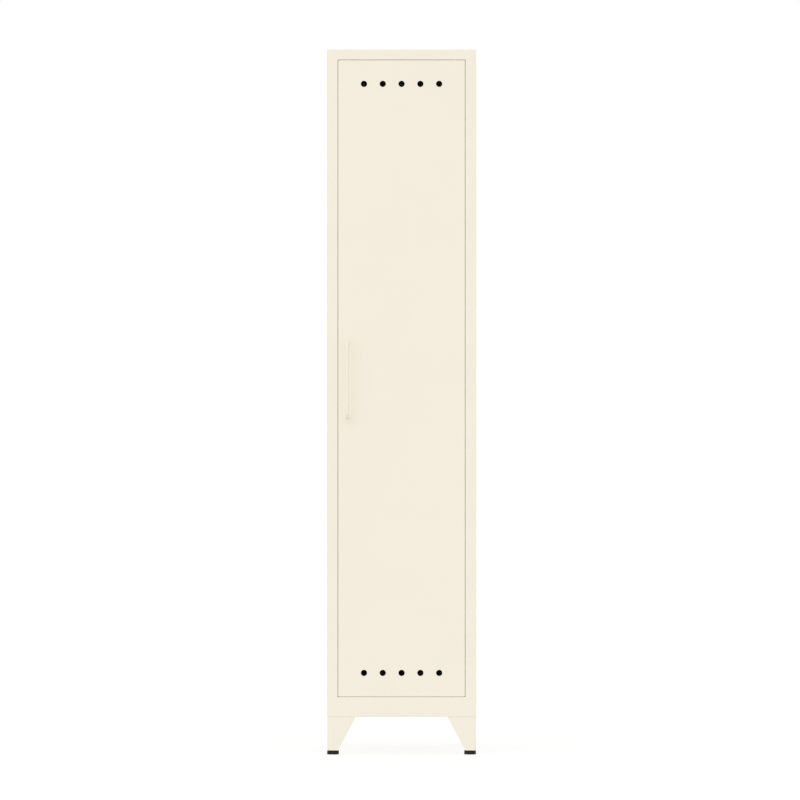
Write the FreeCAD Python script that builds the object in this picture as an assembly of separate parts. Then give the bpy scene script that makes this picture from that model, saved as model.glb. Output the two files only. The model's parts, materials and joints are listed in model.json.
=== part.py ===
import FreeCAD, Part
import math
import os

from FreeCAD import Vector

# A tall steel locker with one flush door, on four tapered sheet-metal legs.
# Lengths are millimetres. +Z is up, the door faces -Y, and the origin lies on the
# floor, in the middle of the overall box (cabinet and handle together).

# Overall sizes
OVERALL_HEIGHT = 1800.0
CABINET_WIDTH = 381.0
CABINET_DEPTH = 480.0

# Sheet metal of the cabinet, the door and the shelf
SHEET = 0.8
BEND_RADIUS = 1.0

# Front frame, seen from the front
STILE = 27.6
TOP_RAIL = 26.2
BOTTOM_RAIL = 50.7

# Folded edges of the cabinet
REAR_FLANGE = 18.0
SEAM_FLANGE = 14.0
SEAM_SETBACK = 2.0
LIP_NOTCH = 0.5
BACK_TOP_CLEARANCE = 9.6

# Door and its pivots
DOOR_GAP = 0.9
SILL_GAP = 0.6
DOOR_DEPTH = 18.0
DOOR_LIP = 13.0
PIVOT_SETBACK = 5.5
EDGE_CLEARANCE = 0.3
SWING_CLEARANCE = 1.0
PIVOT_PIN_DIAMETER = 5.0
PIVOT_PIN_ENGAGEMENT = 11.0
PIVOT_RUNNING_CLEARANCE = 0.06
PIVOT_END_CLEARANCE = 0.2
PIVOT_HEAD_CLEARANCE = 0.2
PIVOT_HEAD_HEIGHT = 2.5
PIVOT_BLOCK_WALL = 6.0
PIVOT_BLOCK_ROOF = 5.0

# Ventilation holes in the door
VENT_DIAMETER = 16.0
VENT_PITCH = 48.0
VENT_COUNT = 5
VENT_INSET = 60.7

# Stiffening channel behind the door
STIFFENER_CROWN = 34.0
STIFFENER_FLANGE = 13.0
STIFFENER_FLARE = 6.0
STIFFENER_SETBACK = 2.0
STIFFENER_VENT_DISTANCE = 45.0

# Bow handle
HANDLE_CENTRES = 192.0
HANDLE_BAR = 8.0
HANDLE_REACH = 30.0
HANDLE_BEND = 14.0
HANDLE_INSET = 23.5
HANDLE_DROP = 3.0
HANDLE_SCREW = 4.0
HANDLE_SCREW_GRIP = 9.0
HANDLE_SCREW_END_CLEARANCE = 1.0
HANDLE_SCREW_HEAD = 8.0
HANDLE_SCREW_HEAD_HEIGHT = 2.8
HANDLE_WASHER = 10.0
HANDLE_WASHER_THICKNESS = 1.0

# Magnetic catches and rubber buffers on the stop lip
CATCH_END_DISTANCE = 210.0
CATCH_MAGNET = 4.0
CATCH_MAGNET_LENGTH = 34.0
CATCH_POLE = 1.2
CATCH_POLE_PROUD = 0.3
CATCH_AIR_GAP = 0.3
CATCH_SIDE_WALL = 1.8
CATCH_BACK_WALL = 4.8
CATCH_LAND = 4.0
CATCH_END_WALL = 2.0
CATCH_ROUNDING = 2.5
CATCH_EDGE_CLEARANCE = 0.5
CATCH_SCREW = 3.0
CATCH_SCREW_HEAD = 6.0
CATCH_SCREW_HEAD_HEIGHT = 2.2
CATCH_SCREW_TAIL = 4.0
BUFFER_DIAMETER = 8.0
BUFFER_ROUNDING = 1.5
BUFFER_COUNT = 3

# Hat shelf and its supports
HAT_SPACE = 270.0
SHELF_FOLD = 22.0
SHELF_LIP = 16.0
SHELF_SIDE_CLEARANCE = 1.0
SHELF_BACK_CLEARANCE = 1.0
SHELF_FRONT_SETBACK = 16.0
SUPPORT_GAUGE = 1.5
SUPPORT_LEG = 20.0
SUPPORT_END_SETBACK = 30.0
SHELF_SCREW = 4.0
SHELF_SCREW_LENGTH = 8.0
SHELF_SCREW_HEAD = 8.0
SHELF_SCREW_HEAD_HEIGHT = 2.8
SHELF_SCREW_END_DISTANCE = 30.0

# Coat rail under the shelf
RAIL_DIAMETER = 25.0
RAIL_WALL = 1.5
RAIL_DROP = 62.0
RAIL_OVERHANG = 12.0
RAIL_CAP_FLANGE = 3.0
RAIL_CAP_PLUG = 10.0
RAIL_FIT = 0.1
HANGER_GAUGE = 3.0
HANGER_END_DISTANCE = 44.0
HANGER_EYE_WALL = 7.5
HANGER_TAB = 26.0
HANGER_BOLT = 5.0
HANGER_BOLT_EDGE_DISTANCE = 8.0
HANGER_BOLT_HEAD = 10.0
HANGER_BOLT_HEAD_HEIGHT = 3.0
HANGER_BOLT_TAIL = 1.5
HANGER_NUT_ACROSS = 8.0
HANGER_NUT_HEIGHT = 4.0

# Wall fixing holes in the back panel
WALL_HOLE_DIAMETER = 8.5
WALL_HOLE_CENTRES = 240.0
WALL_HOLE_DROP = 70.0

# Legs and what bolts them to the base
LEG_RISE = 85.9
LEG_GAUGE = 2.0
LEG_BEND = 2.0
LEG_INSET = 1.2
LEG_TOP_WIDTH = 70.8
LEG_FOOT_WIDTH = 26.4
LEG_SHOULDER = 4.0
LEG_FLANGE_SETBACK = 2.8
LEG_FLANGE_ARM = 24.0
CORNER_PLATE_GAUGE = 2.0
CORNER_PLATE_CLEARANCE = 0.3
BOLT_DIAMETER = 6.0
BOLT_HOLE_CLEARANCE = 0.3
BOLT_IN = 13.0
BOLT_END_DISTANCE = 22.0
BOLT_EDGE_DISTANCE = 9.0
BOLT_HEAD_ACROSS = 10.0
BOLT_HEAD_HEIGHT = 4.0
BOLT_NUT_HEIGHT = 5.0
BOLT_TAIL = 1.5

# Levelling feet
PAD_HEIGHT = 10.3
PAD_TOP_DIAMETER = 29.2
PAD_BASE_DIAMETER = 30.5
PAD_SEAT_GAP = 0.3
PAD_SKIN = 3.0
FOOT_PLATE_GAUGE = 3.0
STUD_DIAMETER = 8.0
STUD_LENGTH = 46.0
STUD_DISC_DIAMETER = 16.0
STUD_DISC_HEIGHT = 3.0
STUD_DISC_CLEARANCE = 0.25
STUD_NECK_CLEARANCE = 0.3
STUD_THREAD_CLEARANCE = 0.08
STUD_SLOT_WIDTH = 1.4
STUD_SLOT_DEPTH = 2.4
WELD_NUT_ACROSS = 13.0
WELD_NUT_HEIGHT = 6.5

# Screw heads: cross recess and rounding, as shares of the head's own diameter and height
RECESS_SPAN_SHARE = 0.6
RECESS_WIDTH_SHARE = 0.16
RECESS_DEPTH_SHARE = 0.5
HEAD_ROUNDING_SHARE = 0.5

# Outside of the cabinet
OUTER_BEND = BEND_RADIUS + SHEET
X_LEFT = -CABINET_WIDTH / 2
X_RIGHT = CABINET_WIDTH / 2
Y_FRONT = -(CABINET_DEPTH + HANDLE_REACH) / 2 + HANDLE_REACH
Y_BACK = Y_FRONT + CABINET_DEPTH
Y_MIDDLE = (Y_FRONT + Y_BACK) / 2
Z_LEG_FOOT = PAD_HEIGHT + PAD_SEAT_GAP
Z_BASE = Z_LEG_FOOT + LEG_RISE
Z_FLOOR = Z_BASE + BOTTOM_RAIL

# Door opening and door
X_OPENING = X_LEFT + STILE
OPENING_WIDTH = CABINET_WIDTH - 2 * STILE
Z_OPENING = OVERALL_HEIGHT - TOP_RAIL
DOOR_X_LEFT = X_OPENING + DOOR_GAP
DOOR_X_RIGHT = -DOOR_X_LEFT
DOOR_Y_BACK = Y_FRONT + DOOR_DEPTH
DOOR_Z_LOW = Z_FLOOR + SILL_GAP
DOOR_Z_HIGH = Z_OPENING - DOOR_GAP
DOOR_Z_MIDDLE = (DOOR_Z_LOW + DOOR_Z_HIGH) / 2

# The pivots stand far enough in for the door's front edge to turn inside the gap, and
# the stop lips lie behind the circle that the door's rear edge turns on.
EDGE_SWEEP = DOOR_GAP - EDGE_CLEARANCE
PIVOT_INSET = (PIVOT_SETBACK**2 - EDGE_SWEEP**2) / (2 * EDGE_SWEEP)
PIVOT_X = DOOR_X_RIGHT - PIVOT_INSET
PIVOT_Y = Y_FRONT + PIVOT_SETBACK
PIVOT_HEAD_DIAMETER = 2 * (PIVOT_SETBACK - OUTER_BEND - PIVOT_HEAD_CLEARANCE)
REAR_EDGE_RADIUS = math.hypot(PIVOT_INSET, DOOR_DEPTH - PIVOT_SETBACK)
REVEAL = PIVOT_SETBACK + REAR_EDGE_RADIUS + SWING_CLEARANCE
Y_STOP = Y_FRONT + REVEAL
STOP_SPACE = Y_STOP - DOOR_Y_BACK

# Handle
HANDLE_X = DOOR_X_LEFT + HANDLE_INSET
HANDLE_Z_MIDDLE = DOOR_Z_MIDDLE - HANDLE_DROP
HANDLE_Z_LOW = HANDLE_Z_MIDDLE - HANDLE_CENTRES / 2
HANDLE_Z_HIGH = HANDLE_Z_MIDDLE + HANDLE_CENTRES / 2

# The stop lip is as wide as the catches on it need
CATCH_STACK = CATCH_MAGNET + 2 * CATCH_POLE
CATCH_WIDTH = CATCH_STACK + 2 * CATCH_SIDE_WALL
CATCH_SCREW_CENTRES = CATCH_MAGNET_LENGTH + CATCH_SCREW_HEAD + 2 * CATCH_LAND
CATCH_LENGTH = CATCH_SCREW_CENTRES + CATCH_SCREW_HEAD + 2 * CATCH_END_WALL
STOP_LIP = BEND_RADIUS + CATCH_WIDTH + 2 * CATCH_EDGE_CLEARANCE
CATCH_X = X_OPENING + (BEND_RADIUS + STOP_LIP) / 2
CATCH_Y_POLE = DOOR_Y_BACK + CATCH_AIR_GAP
CATCH_Y_FACE = CATCH_Y_POLE + CATCH_POLE_PROUD
CATCH_Y_POCKET = Y_STOP - CATCH_BACK_WALL
LOWER_CATCH_Z = Z_FLOOR + CATCH_END_DISTANCE
UPPER_CATCH_Z = Z_OPENING - CATCH_END_DISTANCE

# Back panel, shelf and coat rail
BACK_PANEL_Y_FRONT = Y_BACK - 2 * SHEET
BACK_PANEL_Z_TOP = OVERALL_HEIGHT - OUTER_BEND - BACK_TOP_CLEARANCE
SHELF_X_LEFT = X_LEFT + SHEET + SHELF_SIDE_CLEARANCE
SHELF_Y_FRONT = Y_STOP + SHEET + SHELF_FRONT_SETBACK
SHELF_Y_BACK = BACK_PANEL_Y_FRONT - SHELF_BACK_CLEARANCE
SHELF_Z_TOP = Z_OPENING - HAT_SPACE
SHELF_Z_LOW = SHELF_Z_TOP - SHELF_FOLD
SHELF_SCREW_X = SHELF_X_LEFT + SHELF_LIP / 2
SUPPORT_Y_FRONT = SHELF_Y_FRONT + SUPPORT_END_SETBACK
SUPPORT_Y_BACK = SHELF_Y_BACK - SUPPORT_END_SETBACK
RAIL_Y = (DOOR_Y_BACK + BACK_PANEL_Y_FRONT) / 2
RAIL_Z = SHELF_Z_TOP - RAIL_DROP
HANGER_WIDTH = RAIL_DIAMETER + 2 * HANGER_EYE_WALL
HANGER_X = X_LEFT + HANGER_END_DISTANCE
HANGER_Z_TOP = SHELF_Z_TOP - SHEET
RAIL_X_LEFT = HANGER_X - RAIL_OVERHANG

# Legs and feet, at the front left corner
LEG_X = X_LEFT + LEG_INSET
LEG_Y = Y_FRONT + LEG_INSET
LEG_FLANGE_EDGE = LEG_GAUGE + LEG_BEND
LEG_FLANGE = LEG_TOP_WIDTH - LEG_FLANGE_EDGE - LEG_FLANGE_SETBACK
BOLT_ALONG = LEG_INSET + LEG_TOP_WIDTH - BOLT_END_DISTANCE
BASE_FLANGE = BOLT_IN + BOLT_EDGE_DISTANCE
CORNER_PLATE_TOP = Z_BASE + SHEET + CORNER_PLATE_GAUGE
FOOT_PLATE_TOP = Z_LEG_FOOT + FOOT_PLATE_GAUGE
PAD_X = LEG_X + (LEG_GAUGE + LEG_FOOT_WIDTH) / 2
PAD_Y = LEG_Y + (LEG_GAUGE + LEG_FOOT_WIDTH) / 2
STUD_DISC_LOW = PAD_SKIN + STUD_DISC_CLEARANCE

UP = Vector(0, 0, 1)
DOWN = Vector(0, 0, -1)
FRONTWARD = Vector(0, -1, 0)
BACKWARD = Vector(0, 1, 0)
RIGHTWARD = Vector(1, 0, 0)

# How far a cutting tool reaches past the face that it cuts, and when two heights are the same
OVERCUT = 1.0
SAME = 1e-6

# The four corners, as (name, side in X, side in Y); -1, -1 is the one that is drawn
CORNERS = (
    ("front_left", -1, -1),
    ("front_right", 1, -1),
    ("rear_left", -1, 1),
    ("rear_right", 1, 1),
)


# Building blocks


def block(low, high):
    """A box between two opposite corners."""
    low = Vector(*low)
    size = Vector(*high) - low
    return Part.makeBox(size.x, size.y, size.z, low)


def rounded_block(low, high, radius, sharp_z=None):
    """A box with rounded edges, apart from those that lie at the height sharp_z."""
    shape = block(low, high)

    def is_sharp(edge):
        box = edge.BoundBox
        return sharp_z is not None and max(abs(box.ZMin - sharp_z), abs(box.ZMax - sharp_z)) < SAME

    return shape.makeFillet(radius, [edge for edge in shape.Edges if not is_sharp(edge)])


def rod(diameter, length, start, direction=UP):
    """A round bar from a start point along a direction."""
    return Part.makeCylinder(diameter / 2, length, Vector(*start), direction)


def drill(diameter, thickness, start, direction=UP):
    """A tool for a hole through a plate that begins at the start point."""
    through = thickness + 2 * OVERCUT
    return rod(diameter, through, Vector(*start) - direction * OVERCUT, direction)


def hexagon_bar(across_flats, length, start):
    """An upright hexagonal bar."""
    corner_radius = across_flats / math.sqrt(3)
    spoke = Vector(corner_radius, 0, 0)
    turns = [FreeCAD.Rotation(UP, 60 * number) for number in range(7)]
    corners = [Vector(*start) + turn.multVec(spoke) for turn in turns]
    return Part.Face(Part.makePolygon(corners)).extrude(UP * length)


def hexagon_nut(across_flats, height, bore):
    """A nut standing on the origin."""
    return hexagon_bar(across_flats, height, (0, 0, 0)).cut(drill(bore, height, (0, 0, 0)))


def pan_head_screw(diameter, length, head_diameter, head_height):
    """A cross-recessed screw along +Z, with its head below the origin."""
    top = -head_height
    head = rod(head_diameter, head_height, (0, 0, top))
    rim = [edge for edge in head.Edges if abs(edge.BoundBox.ZMax - top) < SAME]
    head = head.makeFillet(head_height * HEAD_ROUNDING_SHARE, rim)
    arm = head_diameter * RECESS_SPAN_SHARE / 2
    slot = head_diameter * RECESS_WIDTH_SHARE / 2
    bottom = top + head_height * RECESS_DEPTH_SHARE
    recess = [
        block((-arm, -slot, top - OVERCUT), (arm, slot, bottom)),
        block((-slot, -arm, top - OVERCUT), (slot, arm, bottom)),
    ]
    return joined([head.cut(recess), rod(diameter, length, (0, 0, 0))])


def joined(shapes):
    """One solid from shapes that touch or overlap, with its flush faces merged."""
    first, *others = shapes
    return first.fuse(others).removeSplitter()


def placed(shape, position, direction):
    """A shape drawn along +Z at the origin, turned to a direction and moved."""
    copy = shape.copy()
    copy.Placement = FreeCAD.Placement(Vector(*position), FreeCAD.Rotation(UP, direction))
    return copy


def group(solids):
    """Several separate solids that share one name."""
    return Part.makeCompound(solids)


def mirrored_across(shape):
    """The same piece on the other side of the locker."""
    return shape.mirror(Vector(0, 0, 0), RIGHTWARD)


def turned_over(shape):
    """A piece at the door's lower edge, mirrored to its upper edge."""
    return shape.mirror(Vector(0, 0, DOOR_Z_MIDDLE), UP)


def at_corner(shape, side_x, side_y):
    """A piece drawn at the front left corner, mirrored to another corner."""
    if side_x > 0:
        shape = mirrored_across(shape)
    if side_y > 0:
        shape = shape.mirror(Vector(0, Y_MIDDLE, 0), BACKWARD)
    return shape


def at_all_corners(shape):
    """A group of one piece at each corner."""
    return group([at_corner(shape, side_x, side_y) for name, side_x, side_y in CORNERS])


def sheet_face(path, gauge, bend, offset):
    """The edges of one face of a folded sheet's section: the path, shifted to its left by
    the offset, with an arc at each corner."""
    points = [Vector(u, v, 0) for u, v in path]
    runs = [(b - a).normalize() for a, b in zip(points, points[1:])]
    lefts = [Vector(-run.y, run.x, 0) for run in runs]
    edges = []
    here = points[0] + lefts[0] * offset
    for corner, before, after, left in zip(points[1:], runs, runs[1:], lefts):
        turn = math.atan2(before.x * after.y - before.y * after.x, before.dot(after))
        path_radius = bend + gauge if turn > 0 else bend
        trim = path_radius * math.tan(abs(turn) / 2)
        inward = left * math.copysign(1, turn)
        centre = corner - before * trim + inward * path_radius
        radius = path_radius - math.copysign(offset, turn)

        arc_start = centre - inward * radius
        arc_middle = centre + (corner - centre).normalize() * radius
        arc_end = centre + (corner + after * trim - centre).normalize() * radius
        edges.append(Part.LineSegment(here, arc_start).toShape())
        edges.append(Part.Arc(arc_start, arc_middle, arc_end).toShape())
        here = arc_end
    edges.append(Part.LineSegment(here, points[-1] + lefts[-1] * offset).toShape())
    return edges


def folded_sheet(path, gauge, bend, plane, extrusion):
    """A folded sheet: its section follows the path, with the metal on the path's left and
    the given inside bend radius, and is extruded from a plane."""
    face = sheet_face(path, gauge, bend, 0)
    back = sheet_face(path, gauge, bend, gauge)
    first_end = Part.makeLine(face[0].Vertexes[0].Point, back[0].Vertexes[0].Point)
    last_end = Part.makeLine(face[-1].Vertexes[-1].Point, back[-1].Vertexes[-1].Point)
    loop = Part.__sortEdges__([first_end, *face, last_end, *back])
    section = Part.Face(Part.Wire(loop))
    section.Placement = plane
    return section.extrude(extrusion)


def plan_at(height):
    """Section plane that lies flat, with its axes along +X and +Y."""
    return FreeCAD.Placement(Vector(0, 0, height), FreeCAD.Rotation())


def profile_at(x):
    """Section plane that stands across the locker, with its axes along +Y and +Z."""
    return FreeCAD.Placement(Vector(x, 0, 0), FreeCAD.Rotation(BACKWARD, UP, RIGHTWARD, "XYZ"))


# Cabinet shell


def left_panel_path(with_lip):
    """Corners of the left panel's section, from its rear flange round to the door opening."""
    path = [
        (X_LEFT + REAR_FLANGE, Y_BACK),
        (X_LEFT, Y_BACK),
        (X_LEFT, Y_FRONT),
        (X_OPENING, Y_FRONT),
        (X_OPENING, Y_STOP),
    ]
    if with_lip:
        path.append((X_OPENING + STOP_LIP, Y_STOP))
    return path


def seam_flange(height):
    """Strip that turns in from the left wall, where it is spot-welded to its neighbour."""
    return block(
        (X_LEFT + SHEET / 2, Y_STOP + SHEET + SEAM_SETBACK, height),
        (X_LEFT + SHEET + SEAM_FLANGE, BACK_PANEL_Y_FRONT - SEAM_SETBACK, height + SHEET),
    )


def side_panel():
    """Left side wall, stile, reveal and stop lip folded from one sheet, with seam flanges."""
    lip_top = Z_OPENING - STOP_LIP - LIP_NOTCH
    lower = folded_sheet(
        left_panel_path(True), SHEET, BEND_RADIUS, plan_at(Z_FLOOR), UP * (lip_top - Z_FLOOR)
    )
    upper = folded_sheet(
        left_panel_path(False), SHEET, BEND_RADIUS, plan_at(lip_top), UP * (Z_OPENING - lip_top)
    )
    return joined([lower, upper, seam_flange(Z_FLOOR), seam_flange(Z_OPENING - SHEET)])


def left_side_panel():
    """The panel on the handle's side, drilled for the catches."""
    holes = [drill(CATCH_SCREW, SHEET, (CATCH_X, Y_STOP, z), BACKWARD) for z in catch_screw_heights()]
    return side_panel().cut(holes)


def right_side_panel():
    """The panel on the hinge side."""
    return mirrored_across(side_panel())


def top_cap():
    """Top tray: its front wall is the top rail, folded back into the reveal and stop lip."""
    outer = rounded_block(
        (X_LEFT, Y_FRONT, Z_OPENING),
        (X_RIGHT, Y_BACK, OVERALL_HEIGHT),
        OUTER_BEND,
        sharp_z=Z_OPENING,
    )
    inner = rounded_block(
        (X_LEFT + SHEET, Y_FRONT + SHEET, Z_OPENING - OVERCUT),
        (X_RIGHT - SHEET, Y_BACK - SHEET, OVERALL_HEIGHT - SHEET),
        BEND_RADIUS,
        sharp_z=Z_OPENING - OVERCUT,
    )
    fold_start = Z_OPENING + 2 * OUTER_BEND
    fold_room = block(
        (X_OPENING, Y_FRONT - OVERCUT, Z_OPENING - OVERCUT),
        (-X_OPENING, Y_FRONT + SHEET + OVERCUT, fold_start),
    )
    reveal = folded_sheet(
        [
            (Y_FRONT, fold_start),
            (Y_FRONT, Z_OPENING),
            (Y_STOP, Z_OPENING),
            (Y_STOP, Z_OPENING - STOP_LIP),
        ],
        SHEET,
        BEND_RADIUS,
        profile_at(X_OPENING),
        RIGHTWARD * OPENING_WIDTH,
    )
    flange = seam_flange(Z_OPENING)
    tray = outer.cut(inner).cut(fold_room)
    cap = joined([tray, reveal, flange, mirrored_across(flange)])
    return cap.cut(drill(PIVOT_PIN_DIAMETER, SHEET, (PIVOT_X, PIVOT_Y, Z_OPENING)))


def opening_edge_rounding(inset, radius):
    """Tool that rounds the base's upper front edge, along the door opening only."""
    y = Y_FRONT + inset
    z = Z_FLOOR - inset
    corner = block((X_OPENING, y, z - radius), (-X_OPENING, y + radius, z))
    core = rod(2 * radius, OPENING_WIDTH, (X_OPENING, y + radius, z - radius), RIGHTWARD)
    return corner.cut(core)


def base_pan():
    """Base tray: the locker's floor on top, the bottom rail in front, flanges underneath."""
    outer = rounded_block(
        (X_LEFT, Y_FRONT, Z_BASE), (X_RIGHT, Y_BACK, Z_FLOOR), OUTER_BEND, sharp_z=Z_FLOOR
    )
    inner = rounded_block(
        (X_LEFT + SHEET, Y_FRONT + SHEET, Z_BASE + SHEET),
        (X_RIGHT - SHEET, Y_BACK - SHEET, Z_FLOOR - SHEET),
        BEND_RADIUS,
        sharp_z=Z_FLOOR - SHEET,
    )
    outer = outer.cut(opening_edge_rounding(0, OUTER_BEND))
    inner = inner.cut(opening_edge_rounding(SHEET, BEND_RADIUS))
    window = block(
        (X_LEFT + BASE_FLANGE, Y_FRONT + BASE_FLANGE, Z_BASE - OVERCUT),
        (X_RIGHT - BASE_FLANGE, Y_BACK - BASE_FLANGE, Z_BASE + SHEET + OVERCUT),
    )
    pin_hole = drill(PIVOT_PIN_DIAMETER, SHEET, (PIVOT_X, PIVOT_Y, Z_FLOOR - SHEET))
    holes = [leg_bolt_hole(x, y, Z_BASE, SHEET) for x, y in all_leg_bolt_places()]
    return outer.cut(inner).cut([window, pin_hole] + holes)


def back_panel():
    """Flat sheet in front of the side panels' rear flanges, with the wall fixing holes."""
    edge = X_LEFT + OUTER_BEND
    sheet = block(
        (edge, BACK_PANEL_Y_FRONT, Z_FLOOR),
        (-edge, BACK_PANEL_Y_FRONT + SHEET, BACK_PANEL_Z_TOP),
    )
    height = Z_OPENING - WALL_HOLE_DROP
    holes = [
        drill(WALL_HOLE_DIAMETER, SHEET, (x, BACK_PANEL_Y_FRONT, height), BACKWARD)
        for x in (-WALL_HOLE_CENTRES / 2, WALL_HOLE_CENTRES / 2)
    ]
    return sheet.cut(holes)


# Door


def vent_places():
    """Where the ventilation holes are, as (x, z)."""
    first = -VENT_PITCH * (VENT_COUNT - 1) / 2
    return [
        (first + VENT_PITCH * number, height)
        for height in (DOOR_Z_LOW + VENT_INSET, DOOR_Z_HIGH - VENT_INSET)
        for number in range(VENT_COUNT)
    ]


def door_panel():
    """Door tray: a flush face with folded-back edges and lips, open at the back."""
    outer = rounded_block(
        (DOOR_X_LEFT, Y_FRONT, DOOR_Z_LOW), (DOOR_X_RIGHT, DOOR_Y_BACK, DOOR_Z_HIGH), OUTER_BEND
    )
    inner = rounded_block(
        (DOOR_X_LEFT + SHEET, Y_FRONT + SHEET, DOOR_Z_LOW + SHEET),
        (DOOR_X_RIGHT - SHEET, DOOR_Y_BACK - SHEET, DOOR_Z_HIGH - SHEET),
        BEND_RADIUS,
    )
    window = block(
        (DOOR_X_LEFT + DOOR_LIP, DOOR_Y_BACK - SHEET - OVERCUT, DOOR_Z_LOW + DOOR_LIP),
        (DOOR_X_RIGHT - DOOR_LIP, DOOR_Y_BACK + OVERCUT, DOOR_Z_HIGH - DOOR_LIP),
    )
    vents = [drill(VENT_DIAMETER, SHEET, (x, Y_FRONT, z), BACKWARD) for x, z in vent_places()]
    screw_holes = [
        drill(HANDLE_SCREW, SHEET, (HANDLE_X, Y_FRONT, z), BACKWARD)
        for z in (HANDLE_Z_LOW, HANDLE_Z_HIGH)
    ]
    pin_holes = [
        drill(pivot_bore_diameter(), SHEET, (PIVOT_X, PIVOT_Y, z))
        for z in (DOOR_Z_LOW, DOOR_Z_HIGH - SHEET)
    ]
    return outer.cut(inner).cut([window] + vents + screw_holes + pin_holes)


def pivot_bore_diameter():
    return PIVOT_PIN_DIAMETER + 2 * PIVOT_RUNNING_CLEARANCE


def door_stiffener():
    """Upright hat channel, spot-welded to the back of the door's face."""
    face = Y_FRONT + SHEET
    crown = DOOR_Y_BACK - SHEET - STIFFENER_SETBACK
    half_crown = STIFFENER_CROWN / 2
    half_foot = half_crown + STIFFENER_FLARE
    low = DOOR_Z_LOW + VENT_INSET + STIFFENER_VENT_DISTANCE
    high = DOOR_Z_HIGH - VENT_INSET - STIFFENER_VENT_DISTANCE
    path = [
        (-half_foot - STIFFENER_FLANGE, face),
        (-half_foot, face),
        (-half_crown, crown),
        (half_crown, crown),
        (half_foot, face),
        (half_foot + STIFFENER_FLANGE, face),
    ]
    return folded_sheet(path, SHEET, BEND_RADIUS, plan_at(low), UP * (high - low))


def lower_pivot_block():
    """Bearing block in the door's lower hinge corner, bored for the pin."""
    seat = DOOR_Z_LOW + SHEET
    depth = PIVOT_PIN_ENGAGEMENT + PIVOT_END_CLEARANCE
    body = block(
        (PIVOT_X - PIVOT_PIN_DIAMETER / 2 - PIVOT_BLOCK_WALL, Y_FRONT + OUTER_BEND, seat),
        (DOOR_X_RIGHT - OUTER_BEND, DOOR_Y_BACK - OUTER_BEND, seat + depth + PIVOT_BLOCK_ROOF),
    )
    bore = rod(pivot_bore_diameter(), depth + OVERCUT, (PIVOT_X, PIVOT_Y, seat - OVERCUT))
    return body.cut(bore)


def upper_pivot_block():
    """The same block in the upper corner, upside down."""
    return turned_over(lower_pivot_block())


def pivot_pin(gap):
    """Headed pin at the door's lower edge, set in a sheet that lies a gap away from it."""
    underside = DOOR_Z_LOW - gap - SHEET
    length = SHEET + gap + SHEET + PIVOT_PIN_ENGAGEMENT
    shank = rod(PIVOT_PIN_DIAMETER, length, (PIVOT_X, PIVOT_Y, underside))
    head = rod(
        PIVOT_HEAD_DIAMETER, PIVOT_HEAD_HEIGHT, (PIVOT_X, PIVOT_Y, underside - PIVOT_HEAD_HEIGHT)
    )
    return joined([shank, head])


def lower_pivot_pin():
    """The pin that is set in the floor and carries the door."""
    return pivot_pin(SILL_GAP)


def upper_pivot_pin():
    """The pin that is dropped in from above, through the top rail's reveal."""
    return turned_over(pivot_pin(DOOR_GAP))


def handle():
    """Bow handle bent from round bar, tapped at both ends."""
    y_bar = Y_FRONT - HANDLE_REACH + HANDLE_BAR / 2
    y_bend = y_bar + HANDLE_BEND
    middle = HANDLE_BEND * (1 - math.sqrt(0.5))

    def at(y, z):
        return Vector(HANDLE_X, y, z)

    low_bend = Part.Arc(
        at(y_bend, HANDLE_Z_LOW),
        at(y_bar + middle, HANDLE_Z_LOW + middle),
        at(y_bar, HANDLE_Z_LOW + HANDLE_BEND),
    )
    high_bend = Part.Arc(
        at(y_bar, HANDLE_Z_HIGH - HANDLE_BEND),
        at(y_bar + middle, HANDLE_Z_HIGH - middle),
        at(y_bend, HANDLE_Z_HIGH),
    )
    spine = Part.Wire(
        [
            Part.makeLine(at(Y_FRONT, HANDLE_Z_LOW), low_bend.StartPoint),
            low_bend.toShape(),
            Part.makeLine(low_bend.EndPoint, high_bend.StartPoint),
            high_bend.toShape(),
            Part.makeLine(high_bend.EndPoint, at(Y_FRONT, HANDLE_Z_HIGH)),
        ]
    )
    start = Part.Circle(at(Y_FRONT, HANDLE_Z_LOW), FRONTWARD, HANDLE_BAR / 2)
    bar = spine.makePipeShell([Part.Wire(start.toShape())], True, False)
    depth = HANDLE_SCREW_GRIP + HANDLE_SCREW_END_CLEARANCE
    tapped_holes = [
        rod(HANDLE_SCREW, depth + OVERCUT, (HANDLE_X, Y_FRONT + OVERCUT, z), FRONTWARD)
        for z in (HANDLE_Z_LOW, HANDLE_Z_HIGH)
    ]
    return bar.cut(tapped_holes)


def handle_washers():
    """Washers between the handle screws and the door's face."""
    ring = rod(HANDLE_WASHER, HANDLE_WASHER_THICKNESS, (0, 0, 0))
    ring = ring.cut(drill(HANDLE_SCREW, HANDLE_WASHER_THICKNESS, (0, 0, 0)))
    return group(
        [
            placed(ring, (HANDLE_X, Y_FRONT + SHEET, z), BACKWARD)
            for z in (HANDLE_Z_LOW, HANDLE_Z_HIGH)
        ]
    )


def handle_screws():
    """Screws from inside the door into the handle's ends."""
    grip = SHEET + HANDLE_WASHER_THICKNESS
    screw = pan_head_screw(
        HANDLE_SCREW, grip + HANDLE_SCREW_GRIP, HANDLE_SCREW_HEAD, HANDLE_SCREW_HEAD_HEIGHT
    )
    return group(
        [
            placed(screw, (HANDLE_X, Y_FRONT + grip, z), FRONTWARD)
            for z in (HANDLE_Z_LOW, HANDLE_Z_HIGH)
        ]
    )


# Magnetic catches and buffers


def catch_screw_heights():
    """Heights of the screws that hold both catches."""
    half = CATCH_SCREW_CENTRES / 2
    return [z + side * half for z in (LOWER_CATCH_Z, UPPER_CATCH_Z) for side in (-1, 1)]


def catch_block(x_low, x_high, y_low, y_high, z_middle, length):
    """A box that is centred on a catch's height."""
    return block((x_low, y_low, z_middle - length / 2), (x_high, y_high, z_middle + length / 2))


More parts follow.
